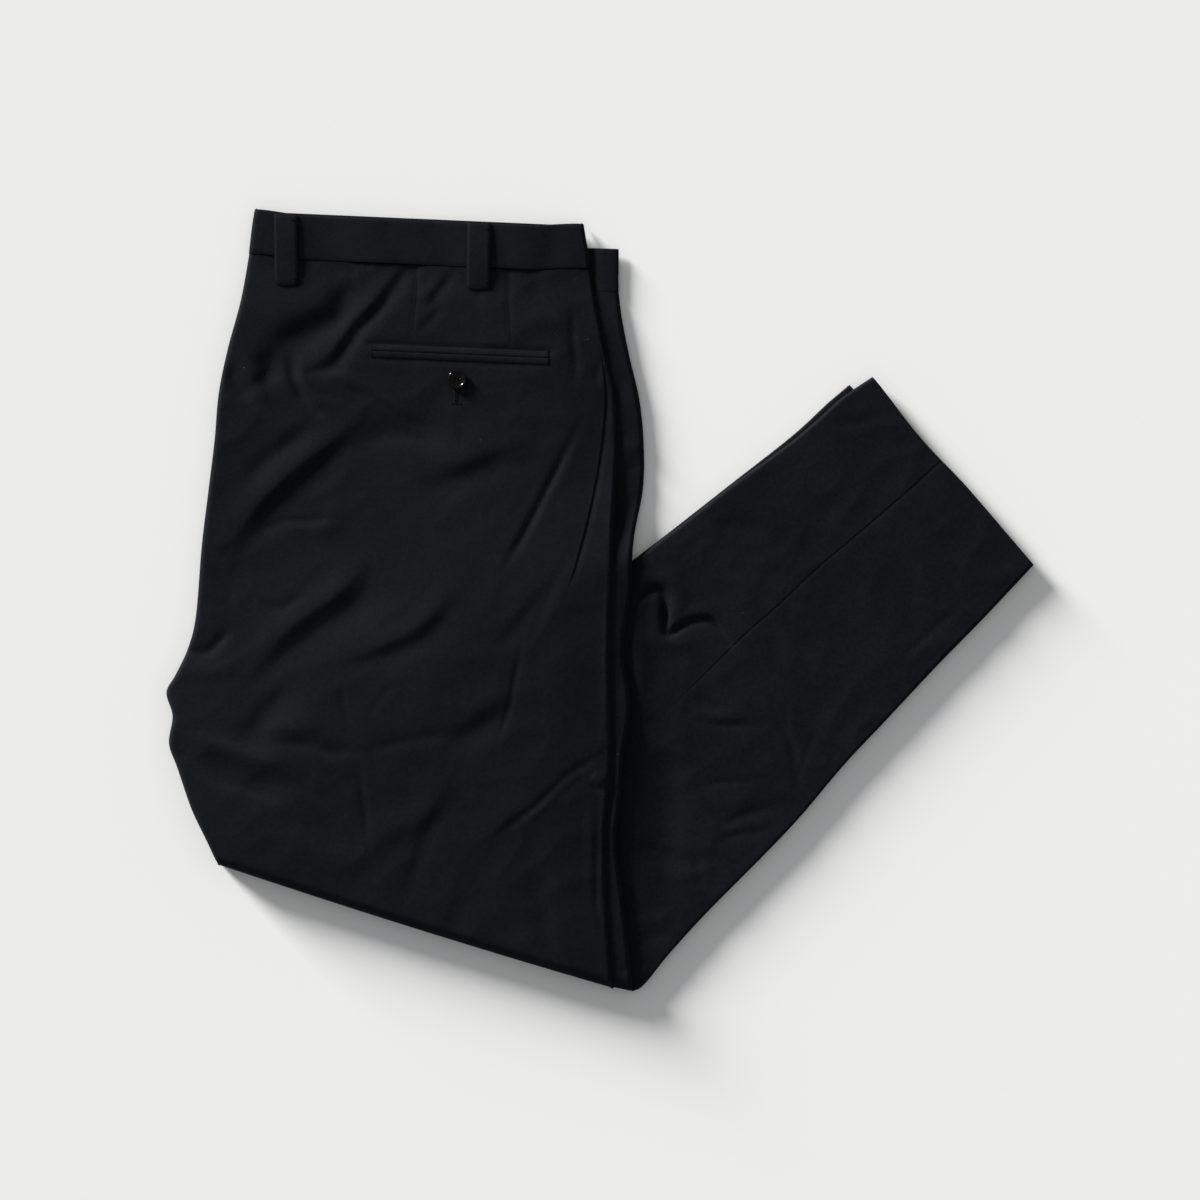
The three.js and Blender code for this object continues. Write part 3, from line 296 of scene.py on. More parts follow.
SHIN_FOLDS = [
    # The tuck beside the thigh
    (3, 3.6, -3.6, 0.9, 0.8, (20, -1), (30, 4), (38, 7), (43, 8), (47, 6), (49.5, 0), (50, -8), (50, -15)),
    (2.6, 3, -3.2, 0.9, 0.3, (50, -8), (50, -18), (51, -25), (56, -25), (62, -20.5), (70, -16.5),
     (80, -15), (87, -17.5), (94, -26), (99, -33)),
    (7, 7, 1.4, 0.8, 0, (20, 10), (38, 17), (54, 14), (60, 2), (60, -12), (72, -12), (92, -7)),
    (7, 6, 1.0, 0.4, 0.1, (26, -6), (38, -4), (42, -14), (43, -30), (60, -34), (84, -26)),
    # Beside the thigh, high above and hollow below
    (9, 10, 2.4, 0.9, 0.2, (20, 24), (26, -20), (30, -56), (31, -88)),
    (8, 5, 1.6, 0.4, 0, (24, -88), (34, -100), (46, -112), (58, -118), (80, -128)),
    (13, 17, -2.9, 0.3, 0.3, (34, -98), (44, -116), (49, -142), (49, -185), (46, -235)),
    # Small wrinkles
    (3, 3.4, -1.0, 0.3, 0.3, (66, -87), (78, -93), (96, -96), (124, -96)),
    (3, 3, -0.9, 0, 0, (70, -74), (82, -79), (98, -86)),
    (3, 3, -0.7, 0.2, 0.2, (77, -142), (98, -140), (121, -138)),
    (5, 6, 0.5, 0, 0, (66, -88), (96, -90), (120, -84)),
    (4, 4, -0.9, 0, 0.2, (129, -88), (142, -100), (149, -122), (151, -143)),
    (3, 3, -0.4, 0.2, 0, (151, -141), (158, -118), (167, -98)),
    (3.4, 4, -1.0, 0.2, 0, (75, -146), (87, -160), (97, -170), (108, -166), (142, -157)),
    (5, 6, 0.5, 0, 0, (76, -134), (98, -156), (128, -144)),
    (3.4, 4, -0.95, 0, 0, (84, -188), (108, -180), (139, -175)),
    (5, 6, -1.1, 0.3, 0, (27, -185), (53, -197), (76, -200), (100, -198)),
    (4, 6, 0.9, 0.2, 0, (30, -200), (52, -210), (84, -211)),
    (4, 4, -0.8, 0, 0, (71, -198), (76, -210), (78, -222)),
    (4, 4, -1.0, 0.3, 0, (25, -258), (40, -259), (56, -256)),
    (3, 3, -0.9, 0.5, 0, (28, -189), (38, -191), (48, -192)),
    (3, 3, 1.0, 0, 0, (30, -280), (34, -285), (36, -292)),
    (5, 4, 0.8, 0.3, 0, (23, -244), (40, -246), (58, -240)),
    (3.4, 4, -0.7, 0.2, 0.2, (166, -106), (176, -115), (185, -125)),
    (6, 7, -0.7, 0, 0, (110, 4), (134, -24), (140, -56)),
    (8, 9, 0.8, 0, 0, (96, 22), (122, 4), (150, -22)),
    (6, 6, -0.7, 0, 0, (82, 52), (104, 58), (132, 50)),
    (4, 4, -0.5, 0, 0, (226, -52), (252, -26), (280, -2)),
    (5, 4, -0.6, 0, 0.2, (173, 138), (196, 135), (220, 145)),
    # The hem's turned-up edge
    (2, 2.6, -0.35, 0.4, 0.4, (170, 146), (203, 116), (230, 92), (247, 78), (283, 35), (310, 11)),
]


# Small helpers
def mix(a, b, t):
    return a + (b - a) * t


def smooth(start, end, value):
    t = np.clip((value - start) / (end - start), 0, 1)
    return t * t * (3 - 2 * t)


def xyz(x, y, z):
    return np.stack(np.broadcast_arrays(x, y, z), axis=-1)


def unit(vectors):
    return vectors / np.maximum(np.linalg.norm(vectors, axis=-1, keepdims=True), 1e-12)


def curve(column, t):
    """Values on a smooth curve through a column of a table, straight between its last two rows."""
    t = np.asarray(t, float)
    last = len(column) - 1
    i = np.clip(np.floor(t).astype(int), 0, last - 1)
    s = t - i
    straight = i == last - 1
    if column.ndim == 2:
        s, straight = s[..., None], straight[..., None]
    a, b = column[np.maximum(i - 1, 0)], column[i]
    c, d = column[i + 1], column[np.minimum(i + 2, last)]
    bend = 2 * a - 5 * b + 4 * c - d + (3 * b - 3 * c + d - a) * s
    return np.where(straight, mix(b, c, s), b + 0.5 * s * (c - a + s * bend))


def section_places(rows, first, last, end, cell, start=0.0):
    """Places along a table, a cell apart 0.6 of the way across."""
    fine = np.linspace(start, end, 2000)
    points = mix(curve(rows[first], fine), curve(rows[last], fine), 0.6)
    run = np.concatenate([[0], np.cumsum(np.linalg.norm(np.diff(points, axis=0), axis=1))])
    return np.interp(np.linspace(0, run[-1], round(run[-1] / cell) + 1), run, fine)


def fold_height(folds, x, y):
    """The height that the folds add at points."""
    total = np.zeros_like(x)
    for left, right, height, at_start, at_end, *path in folds:
        points = np.array(path, float)
        line = curve(points, np.linspace(0, len(points) - 1, 5 * len(points) - 4))
        reach = 3 * max(left, right)
        near = (
            (x > line[:, 0].min() - reach) & (x < line[:, 0].max() + reach)
            & (y > line[:, 1].min() - reach) & (y < line[:, 1].max() + reach)
        )
        if not near.any():
            continue
        px, py = x[near], y[near]
        best = np.full(px.shape, np.inf)
        place, side = np.zeros_like(px), np.zeros_like(px)
        steps = np.diff(line, axis=0)
        lengths = np.hypot(steps[:, 0], steps[:, 1])
        run = 0
        for (ax, ay), (dx, dy), length in zip(line, steps, lengths):
            s = np.clip(((px - ax) * dx + (py - ay) * dy) / length**2, 0, 1)
            ox, oy = px - ax - s * dx, py - ay - s * dy
            far = np.hypot(ox, oy)
            closer = far < best
            best = np.where(closer, far, best)
            place = np.where(closer, (run + s * length) / lengths.sum(), place)
            side = np.where(closer, dx * oy - dy * ox, side)
            run += length
        fade = mix(at_start, 1, smooth(0, FADE, place)) * mix(at_end, 1, smooth(1, 1 - FADE, place))
        width = np.where(side > 0, left, right)
        total[near] += FOLD_SCALE * height * fade * np.exp(-((best / width) ** 2))
    return total


def noise_at(x, y, z):
    return noise.noise((x, y, z))


ripple = np.vectorize(noise_at, otypes=[float])


def crumple(x, y, level=0.0):
    """Small irregular wrinkles, with narrow ridges where two slopes meet; the divisors are their sizes."""
    bent = x + 9 * ripple(x / 60, y / 60, level + 5)
    wide = np.abs(ripple((bent + 0.4 * y) / 52, (y - 0.5 * bent) / 34, level))
    small = np.abs(ripple((bent - 0.3 * y) / 23, (y + 0.6 * bent) / 17, level + 9))
    where = smooth(-0.25, 0.35, ripple(x / 80, y / 80, level + 17))
    return 0.75 * (0.25 - wide) + 0.32 * where * (0.25 - small)


# Heights of the stack
def near_waist(x, y, reach=SEAM_RISE):
    """1 at the waistband's seam, down to 0 at a distance below it."""
    left, near = THIGH["left"][0], THIGH["near"][0]
    seam = mix(left[1], near[1], (x - left[0]) / (near[0] - left[0]))
    return 1 - smooth(0, reach, seam - y)


def shin_raise(x, y, spread=TENT, at_edge=TENT_AT_EDGE):
    """How far the shin under the legs lifts them."""
    edge = unit(SHIN_SHOWS - KNEE_CORNER)
    inside = (x - KNEE_CORNER[0]) * edge[1] - (y - KNEE_CORNER[1]) * edge[0]
    return SHIN_TOP * smooth(-mix(at_edge, spread, smooth(0, -TENT_WIDENS, x)), 0, inside)


def band_sag(x):
    return BAND_SAG * smooth(-264, -228, x) * (1 - smooth(-55, -15, x))


def thigh_top(x, y):
    edge = np.interp(-y, -THIGH["near"][:, 1], THIGH["near"][:, 0])
    thinner = EDGE_THINNER * smooth(EDGE_REACH, 0, edge - x)
    return shin_raise(x, y, NEAR_TENT, NEAR_TENT_AT_EDGE) + 2 * LEG - SEAM_DROP * near_waist(x, y) - thinner


def far_top(x, y):
    return shin_raise(x, y) + LEG - 0.8 * SEAM_DROP * near_waist(x, y)


# Meshes from grids of points
def grid_normals(grid, round_way=False):
    if round_way:
        across = np.roll(grid, -1, 1) - np.roll(grid, 1, 1)
    else:
        across = np.gradient(grid, axis=1)
    return unit(np.cross(np.gradient(grid, axis=0), across))


def grid_faces(first, second, rows, columns, closed=False):
    """Quads of two grids of points, the second one's turned over, and the rims between them."""
    faces = []
    for j in range(rows - 1):
        for i in range(columns if closed else columns - 1):
            a, b = j * columns + i, j * columns + (i + 1) % columns
            c, d = b + columns, a + columns
            faces.append((first + a, first + d, first + c, first + b))
            faces.append((second + a, second + b, second + c, second + d))
    start, end = list(range(columns)), list(range((rows - 1) * columns, rows * columns))
    if closed:
        rims = [start, end]
    else:
        right = [j * columns + columns - 1 for j in range(1, rows - 1)]
        left = [j * columns for j in range(rows - 2, 0, -1)]
        rims = [start + right + end[::-1] + left]
    for rim in rims:
        for a, b in zip(rim, rim[1:] + rim[:1]):
            faces.append((first + a, first + b, second + b, second + a))
    return faces


def grid_uv(grid):
    """Distances along the middle row and the middle column, for the weave."""
    rows, columns = grid.shape[:2]
    across = np.linalg.norm(np.diff(grid, axis=1), axis=2)
    along = np.linalg.norm(np.diff(grid[:, columns // 2], axis=0), axis=1)
    u = np.concatenate([np.zeros((rows, 1)), np.cumsum(across, axis=1)], axis=1)
    u = u - u[:, columns // 2][:, None]
    v = np.concatenate([[0], np.cumsum(along)])
    return np.stack([u, np.broadcast_to(v[:, None], u.shape)], axis=-1).reshape(-1, 2) * MM


SHARP = math.radians(50)  # edges sharper than this aren't shaded smooth


def make_mesh(name, points, faces, uv, material):
    mesh = bpy.data.meshes.new(name)
    mesh.from_pydata((np.asarray(points) * MM).tolist(), [], faces)
    layer = mesh.uv_layers.new(name="weave")
    corners = np.empty(len(mesh.loops), int)
    mesh.loops.foreach_get("vertex_index", corners)
    layer.data.foreach_set("uv", np.asarray(uv)[corners].ravel())
    shape = bmesh.new()
    shape.from_mesh(mesh)
    bmesh.ops.recalc_face_normals(shape, faces=shape.faces)
    for edge in shape.edges:
        edge.smooth = edge.calc_face_angle(0) < SHARP
    shape.to_mesh(mesh)
    shape.free()
    mesh.shade_smooth()
    mesh.materials.append(material)
    made = bpy.data.objects.new(name, mesh)
    bpy.context.scene.collection.objects.link(made)
    return made


def walls(name, pairs, material):
    """A closed mesh from pairs of grids, the outer and the inner face of each wall."""
    points, faces, uv, first = [], [], [], 0
    for outer, inner in pairs:
        rows, columns = outer.shape[:2]
        count = rows * columns
        points += [outer.reshape(-1, 3), inner.reshape(-1, 3)]
        faces += grid_faces(first, first + count, rows, columns)
        uv += [grid_uv(outer)] * 2
        first += 2 * count
    points = np.concatenate(points)
    points[:, 2] = np.maximum(points[:, 2], FLOOR)
    return make_mesh(name, points, faces, np.concatenate(uv), material)


def tube(name, rings, thickness, material):
    """An open tube with a wall, from rows of rings."""
    rows, count = rings.shape[:2]
    normals = grid_normals(rings, round_way=True)
    outward = np.sign((normals * (rings - rings.mean(axis=1, keepdims=True))).sum(-1).mean())
    inner = rings - outward * normals * thickness
    points = np.concatenate([rings.reshape(-1, 3), inner.reshape(-1, 3)])
    faces = grid_faces(0, rows * count, rows, count, closed=True)
    return make_mesh(name, points, faces, np.concatenate([grid_uv(rings)] * 2), material)


def dress(piece, slot, *nodes):
    """What every piece of the trousers needs: its body and the nodes it stands for; its slot is not used.
    """
    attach(piece, "root")
    if nodes:
        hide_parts(*nodes)
    return piece


# Materials
class Nodes:
    """Short names for making a material's nodes; a value goes to the node or else to its input."""

    def __init__(self, name):
        self.material = bpy.data.materials.new(name)
        self.material.use_nodes = True
        self.tree = self.material.node_tree
        self.shader = next(n for n in self.tree.nodes if n.type == "BSDF_PRINCIPLED")

    def add(self, kind, links=None, **values):
        node = self.tree.nodes.new(kind)
        for key, value in values.items():
            if hasattr(node, key):
                setattr(node, key, value)
            else:
                node.inputs[key.replace("_", " ")].default_value = value
        for key, source in (links or {}).items():
            self.tree.links.new(source, node.inputs[key])
        return node

    def ramp(self, source, low, high, start=0.0, end=1.0):
        node = self.add("ShaderNodeValToRGB", {"Fac": source})
        for stop, position, colour in zip(node.color_ramp.elements, (start, end), (low, high)):
            stop.position = position
            stop.color = (*colour, 1)
        return node.outputs["Color"]

    def times(self, first, second):
        links = {"A": first, "B": second}
        node = self.add("ShaderNodeMix", links, data_type="RGBA", blend_type="MULTIPLY", Factor=1)
        return node.outputs["Result"]

    def noise(self, vector, scale, detail=2):
        return self.add("ShaderNodeTexNoise", {"Vector": vector}, Scale=scale, Detail=detail).outputs["Fac"]

    def place(self):
        return self.add("ShaderNodeTexCoord").outputs["Object"]

    def into(self, socket, source):
        self.tree.links.new(source, self.shader.inputs[socket])

    def plain(self, **values):
        for key, value in values.items():
            self.shader.inputs[key.replace("_", " ")].default_value = value


def grey(*values):
    return [(value, value, value) for value in values]


LINT_COLOUR = (0.05, 0.055, 0.06, 1)


def cloth_material(name, dark, light, lint=True):
    """A fine worsted twill, nearly black."""
    n = Nodes(name)
    uv = n.add("ShaderNodeUVMap").outputs["UV"]
    where = n.place()
    twill = n.add(
        "ShaderNodeTexWave", {"Vector": uv}, bands_direction="DIAGONAL", Scale=620, Distortion=1.2, Detail=1
    ).outputs["Fac"]
    yarn = n.noise(uv, 1500)
    patches = n.noise(where, 14, 5)
    creases = n.noise(where, 60, 4)
    mottle = n.noise(where, 420, 3)
    tone = n.ramp(patches, dark, light, 0.3, 0.7)
    thread = n.ramp(yarn, *grey(0.72, 1.25), 0.3, 0.7)
    slubs = n.ramp(mottle, (0.8, 0.8, 0.82), (1.22, 1.2, 1.18), 0.35, 0.65)
    result = n.times(n.times(tone, thread), slubs)
    if lint:
        specks = n.add("ShaderNodeTexVoronoi", {"Vector": where}, feature="F1", Scale=95)
        point = n.ramp(specks.outputs["Distance"], *grey(1, 0), 0.03, 0.06)
        chosen = n.ramp(n.noise(where, 31), *grey(0, 1), 0.64, 0.68)
        links = {"Factor": n.times(point, chosen), "A": result}
        result = n.add("ShaderNodeMix", links, data_type="RGBA", B=LINT_COLOUR).outputs["Result"]
    n.into("Base Color", result)
    n.into("Roughness", n.ramp(patches, *grey(0.72, 0.9)))
    normal = None
    for height, strength, distance in ((creases, 0.25, 0.0012), (twill, 0.3, 0.00012), (yarn, 0.3, 0.0001)):
        links = {"Height": height, "Normal": normal} if normal else {"Height": height}
        normal = n.add("ShaderNodeBump", links, Strength=strength, Distance=distance).outputs["Normal"]
    n.into("Normal", normal)
    n.plain(Specular_IOR_Level=0.06, Sheen_Weight=0.006, Sheen_Roughness=0.45, Sheen_Tint=(0.8, 0.9, 1, 1))
    return n.material


SUITING = cloth_material("suiting", (0.0031, 0.0041, 0.0057), (0.0046, 0.0059, 0.0080))
LINING = cloth_material("lining", (0.0032, 0.0039, 0.0050), (0.0048, 0.0057, 0.0071), lint=False)


def thread_material(name, dark, light):
    """Twisted sewing thread."""
    n = Nodes(name)
    uv = n.add("ShaderNodeUVMap").outputs["UV"]
    twist = n.add("ShaderNodeTexWave", {"Vector": uv}, bands_direction="DIAGONAL", Scale=900).outputs["Fac"]
    n.into("Base Color", n.ramp(twist, dark, light))
    n.into("Roughness", n.ramp(twist, *grey(0.5, 0.7)))
    bump = n.add("ShaderNodeBump", {"Height": twist}, Strength=0.6, Distance=0.0001)
    n.into("Normal", bump.outputs["Normal"])
    n.plain(Specular_IOR_Level=0.04)
    return n.material


THREAD = thread_material("thread", (0.0012, 0.0014, 0.0019), (0.0034, 0.0039, 0.0050))


def horn_material():
    """Polished dark horn, with brown streaks."""
    n = Nodes("horn")
    streak = n.add("ShaderNodeMapping", {"Vector": n.place()}, Scale=(90, 420, 90)).outputs["Vector"]
    grain = n.noise(streak, 1, 4)
    n.into("Base Color", n.ramp(grain, (0.0012, 0.0010, 0.0009), (0.0060, 0.0042, 0.0028), 0.4, 0.8))
    n.into("Roughness", n.ramp(grain, *grey(0.12, 0.2)))
    n.plain(Specular_IOR_Level=0.14)
    return n.material


HORN = horn_material()

# The folded edge of a panel: round the edge, from under it to the top
EDGE_ANGLES = np.radians([-75, -50, -25, 0, 15, 30, 45, 60, 75, 90])
EDGE_TIP = 3  # which of them is 0
UNDER_TURN = 2.0  # how far a folded edge goes back in under itself
UNDER_DIP = 1.1  # and down
SOFT_DIP = 0.8  # the same where the edge lies on another layer


def folded_edge(radius):
    """The columns at a folded edge: how far in they are, how high, and how far they dip under."""
    turned = 1 - np.cos(EDGE_ANGLES)
    inset = np.where(EDGE_ANGLES < 0, UNDER_TURN * turned, radius * turned)
    return inset, np.clip(np.sin(EDGE_ANGLES), 0, 1), np.clip(-np.sin(EDGE_ANGLES), 0, 1)


def edge_shape(inset, left=True, right=True):
    """The height and the dip of all columns of a panel whose left or right edge is folded."""
    share, dip = folded_edge(1)[1:]
    rise, fall = np.ones_like(inset), np.zeros_like(inset)
    if left:
        rise[:, : len(share)], fall[:, : len(share)] = share, dip
    if right:
        rise[:, -len(share):], fall[:, -len(share):] = share[::-1], dip[::-1]
    return rise, fall


SEAM_COLUMNS = np.array([1.8, 1.1, 0.6, 0.25, 0.0])  # from a seam, where a panel dips into it


def seam_dip(distance, depth, reach):
    """How deep a panel dips beside a seam."""
    return depth * (1 - smooth(0, reach, distance))


def crosswise(start, end, inset):
    """Points at distances from one edge of a panel along straight lines to the other."""
    points = start[:, None] + unit(end - start)[:, None] * inset[..., None]
    return points[..., 0], points[..., 1]


def between(start, end, count):
    """Evenly spaced columns between two lists of places, without their ends."""
    shares = np.linspace(0, 1, count + 2)[1:-1]
    return start[:, None] + (end - start)[:, None] * shares


def inner_face(outer, thickness):
    return outer - grid_normals(outer) * thickness


def wall(outer, thickness=SHELL):
    """The outer and the inner face of a wall."""
    return outer, inner_face(outer, thickness)


def cloth(name, node, pairs, slot="suiting", material=SUITING):
    """A piece of cloth that stands for a node."""
    return dress(walls(name, pairs, material), slot, node)


def two_panels(width, seam, radii, counts, squeeze=1):
    """The columns of the panels on either side of a seam, as distances from the left folded edge."""
    left, right = (folded_edge(radius * np.ones((len(width), 1)))[0] for radius in radii)
    right = width[:, None] - right[:, ::-1]
    back_seam = (seam - SEAM_GAP / 2)[:, None] - SEAM_COLUMNS
    front_seam = (seam + SEAM_GAP / 2)[:, None] + SEAM_COLUMNS[::-1] * squeeze
    back = np.hstack([left, between(left[:, -1], back_seam[:, 0], counts[0]), back_seam])
    front = np.hstack([front_seam, between(front_seam[:, -1], right[:, 0], counts[1]), right])
    return back, front


# The near leg at the thigh: its two panels, from the waistband's seam round the knee fold
KNEE_ROWS = 22
KNEE_END = -80  # how far the fold turns under, in degrees
knee_angles = np.radians(np.linspace(90, KNEE_END, KNEE_ROWS))
last_place = len(THIGH["left"]) - 1
knee_places = last_place - KNEE_RADIUS * (1 - np.cos(knee_angles)) / KNEE_STEP
thigh_places = np.concatenate([
    section_places(THIGH, "left", "near", knee_places[0], CELL, -0.02)[:-1],
    knee_places,
])
knee_share = np.concatenate([
    np.ones(len(thigh_places) - len(knee_places)),
    (1 + np.sin(knee_angles)) / 2,
])


def near_leg():
    left, near = curve(THIGH["left"], thigh_places), curve(THIGH["near"], thigh_places)
    width = np.linalg.norm(near - left, axis=1)
    seam = (curve(THIGH["seam"], thigh_places) - left[:, 0]) / (near - left)[:, 0] * width
    bend = np.minimum(FOLD_RADIUS, (width - seam - SEAM_GAP / 2) * 0.7)
    squeeze = np.minimum(1, (width - bend - seam - SEAM_GAP / 2) / 2.4)[:, None]
    radii = (FOLD_RADIUS, bend[:, None])
    back, front = two_panels(width, seam, radii, (BACK_COLUMNS, FRONT_COLUMNS), squeeze)

    def surface(inset, is_back):
        x, y = crosswise(left, near, inset)
        bow = KNEE_BOW * smooth(last_place - 2, last_place, thigh_places)[:, None]
        bow = bow * np.sin(np.pi * inset / width[:, None])
        x = x + bow * KNEE_WAY[0]
        y = y + bow * KNEE_WAY[1]
        y = y - band_sag(x) * near_waist(x, y, 1.5 * SEAM_RISE)
        rise, fall = edge_shape(inset, left=is_back, right=not is_back)
        full = thigh_top(x, y) + fold_height(THIGH_FOLDS, x, y) + crumple(x, y)
        if is_back:
            z = mix(thigh_top(x, y) / 2 + EDGE_FOOT, full, rise) - UNDER_DIP * fall
        else:
            open_mouth = smooth(0, 20, y - MOUTH_END) * smooth(0, 25, MOUTH_START - y)
            z = mix(far_top(x, y) + 1.0, full, rise) - SOFT_DIP * fall
            z -= seam_dip(inset - inset[:, :1], mix(SEWN_DIP, MOUTH_DIP, open_mouth), DIP_REACH)
        return xyz(x, y, z * knee_share[:, None])

    return surface(back, True), surface(front, False)


back_outer, front_outer = near_leg()
back_cloth = cloth("back_cloth_near", "back_panel_near", [wall(back_outer)])
front_cloth = cloth("front_cloth_near", "front_panel_near", [wall(front_outer)])

# The far leg's strip beside it
strip_rows = knee_angles > np.radians(25)
strip_places = thigh_places[: len(thigh_places) - len(knee_places) + strip_rows.sum()]
strip_knee = knee_angles[strip_rows]
strip_share = np.concatenate([
    np.ones(len(strip_places) - len(strip_knee)),
    np.interp(-strip_knee, np.radians([-90, -60, -30]), [1, 0.7, 0.15]),
])


def far_strip():
    places = strip_places
    near = curve(THIGH["near"], places + STRIP_START * (1 - smooth(0, 2.5, places)))
    far = curve(THIGH["far"], np.where(places < 0, 8 * places, places))
    right = np.linalg.norm(far - near, axis=1)[:, None] - folded_edge(STRIP_RADIUS)[0][::-1]
    start = np.where(strip_share < 1, GAP, -1.2)
    inset = np.hstack([start[:, None], between(start, right[:, 0], 7), right])
    rise, fall = edge_shape(inset, left=False)
    x, y = crosswise(near, far, inset)
    lift = shin_raise(x, y)
    rest = lift + np.where(lift > SHIN_TOP - 0.5, 0.35, 0.8)
    wrinkles = fold_height(STRIP_FOLDS, x, y) + 0.5 * crumple(x, y, 3)
    z = mix(rest + 0.5, far_top(x, y) + 0.5 + wrinkles, rise * strip_share[:, None]) - 0.4 * fall
    return xyz(x, y, z)


strip_outer = far_strip()
strip_cloth = cloth("front_cloth_far", "front_panel_far", [wall(strip_outer)])


def far_edge(y):
    """The far leg's outer edge, for the shin that comes out from under it."""
    edge = strip_outer[:, -1 - EDGE_TIP]
    return np.interp(-y, -edge[:, 1], edge[:, 0])


# The shin
def shin_place(rows, q, share):
    start = mix(curve(rows["back"], 0), curve(rows["front"], 0), share[..., None])
    point = mix(curve(rows["back"], q)[:, None], curve(rows["front"], q)[:, None], share[..., None])
    covered = far_edge(start[..., 1]) - TUCK + TUCK_GAP
    hold = (1 - smooth(0, 1.6, q))[:, None]
    last = len(rows["back"]) - 1
    hem = smooth(last - 1, last, q)[:, None]
    bow = HEM_BOW * hem * np.sin(np.pi * np.minimum(1, share * 1.6)) ** 2
    x = point[..., 0] + (covered - start[..., 0]) * hold - bow
    return x, point[..., 1] - bow * 0.6


def shin_width(rows, q):
    x, y = shin_place(rows, q, np.array([0.0, 1.0]))
    return np.hypot(x[:, 1] - x[:, 0], y[:, 1] - y[:, 0])


shin_places = section_places(SHIN, "back", "front", len(SHIN["back"]) - 1, CELL)[::-1]


def shin_leg():
    q = shin_places
    width = shin_width(SHIN, q)
    seam = curve(SHIN["seam"], q) * width
    radii = (SHIN_RADIUS, SHIN_RADIUS)
    back, front = two_panels(width, seam, radii, (SHIN_BACK_COLUMNS, SHIN_FRONT_COLUMNS))

    def surface(inset, is_back):
        x, y = shin_place(SHIN, q, inset / width[:, None])
        clear = smooth(0, 9, x - far_edge(y))
        full = SHIN_TOP + clear * (fold_height(SHIN_FOLDS, x, y) + 1.1 * crumple(x, y, 7))
        rise, fall = edge_shape(inset, left=is_back, right=not is_back)
        z = mix(UNDER_LEG + 1.5, full, rise) - SOFT_DIP * fall
        if not is_back:
            depth = mix(*SHIN_DIPS, smooth(52, 110, x))
            z -= seam_dip(inset - inset[:, :1], depth, SHIN_DIP_REACH)
        return xyz(x, y, z)

    return surface(back, True), surface(front, False)


shin_back_outer, shin_front_outer = shin_leg()
shin_back = cloth("shin_back_cloth", "shin_back_panel", [wall(shin_back_outer)])
shin_front = cloth("shin_front_cloth", "shin_front_panel", [wall(shin_front_outer)])


# The far leg's lower face at the shin, and the near leg's shin under it
def far_shin_lower():
    columns = np.concatenate([[0.004, 0.008, 0.014], np.linspace(0.02, 0.98, 40), [0.986, 0.992, 0.996]])
    x, y = shin_place(SHIN, shin_places[::2], columns)
    lift = np.interp(columns, [0.004, 0.02, 0.98, 0.996], [0.7, 0, 0, 0.7])
    low = xyz(x, y, UNDER_LEG + GAP + lift)
    high = low + np.array((0, 0, SHELL))
    low[..., 2] += np.maximum(0, 0.6 * crumple(x, y, 11))
    return low, high


def hem_ply():
    """The hem's turned-up cloth, inside the leg's end."""
    last = len(SHIN["back"]) - 1
    x, y = shin_place(SHIN, np.linspace(last - 0.02, last - 1.1, 14), np.linspace(0.03, 0.97, 44))
    high = xyz(x, y, HEM_PLY_TOP + 0.5 * crumple(x, y, 41))
    return high, high - np.array((0, 0, HEM_PLY))


shin_lower = cloth("shin_lower_cloth", "shin_inner_layers", [far_shin_lower(), hem_ply()])


def rest_height(folds, x, y):
    """How far the cloth that lies on the floor is off it."""
    return np.clip(-0.4 * fold_height(folds, x, y) + 0.8 * crumple(x, y, 21), 0, 1.2)


def under_leg():
    end = len(UNDER["back"]) - 1
    q = section_places(UNDER, "back", "front", end, 2 * CELL)[::-1]
    width = shin_width(UNDER, q)
    angles = np.radians(np.linspace(-90, 90, 11))
    radius = UNDER_LEG / 2
    side = radius * (1 - np.cos(angles))
    height = radius * (1 + np.sin(angles))
    count = 40
    left = np.broadcast_to(side, (len(q), len(side)))
    top = between(np.full(len(q), radius), width - radius, count)
    right = width[:, None] - side[::-1]
    inset = np.hstack([left, top, right, top[:, ::-1]])
    z = np.concatenate([height, np.full(count, UNDER_LEG), height[::-1], np.zeros(count)])
    x, y = shin_place(UNDER, q, inset / width[:, None])
    z = np.broadcast_to(z, x.shape).copy()
    below = slice(-count + 2, -2)
    z[:, below] += rest_height(SHIN_FOLDS, x[:, below], y[:, below])
    return xyz(x, y, z)


under_cloth = dress(tube("under_leg_cloth", under_leg(), SHELL, SUITING), "suiting", "shin_under_leg")


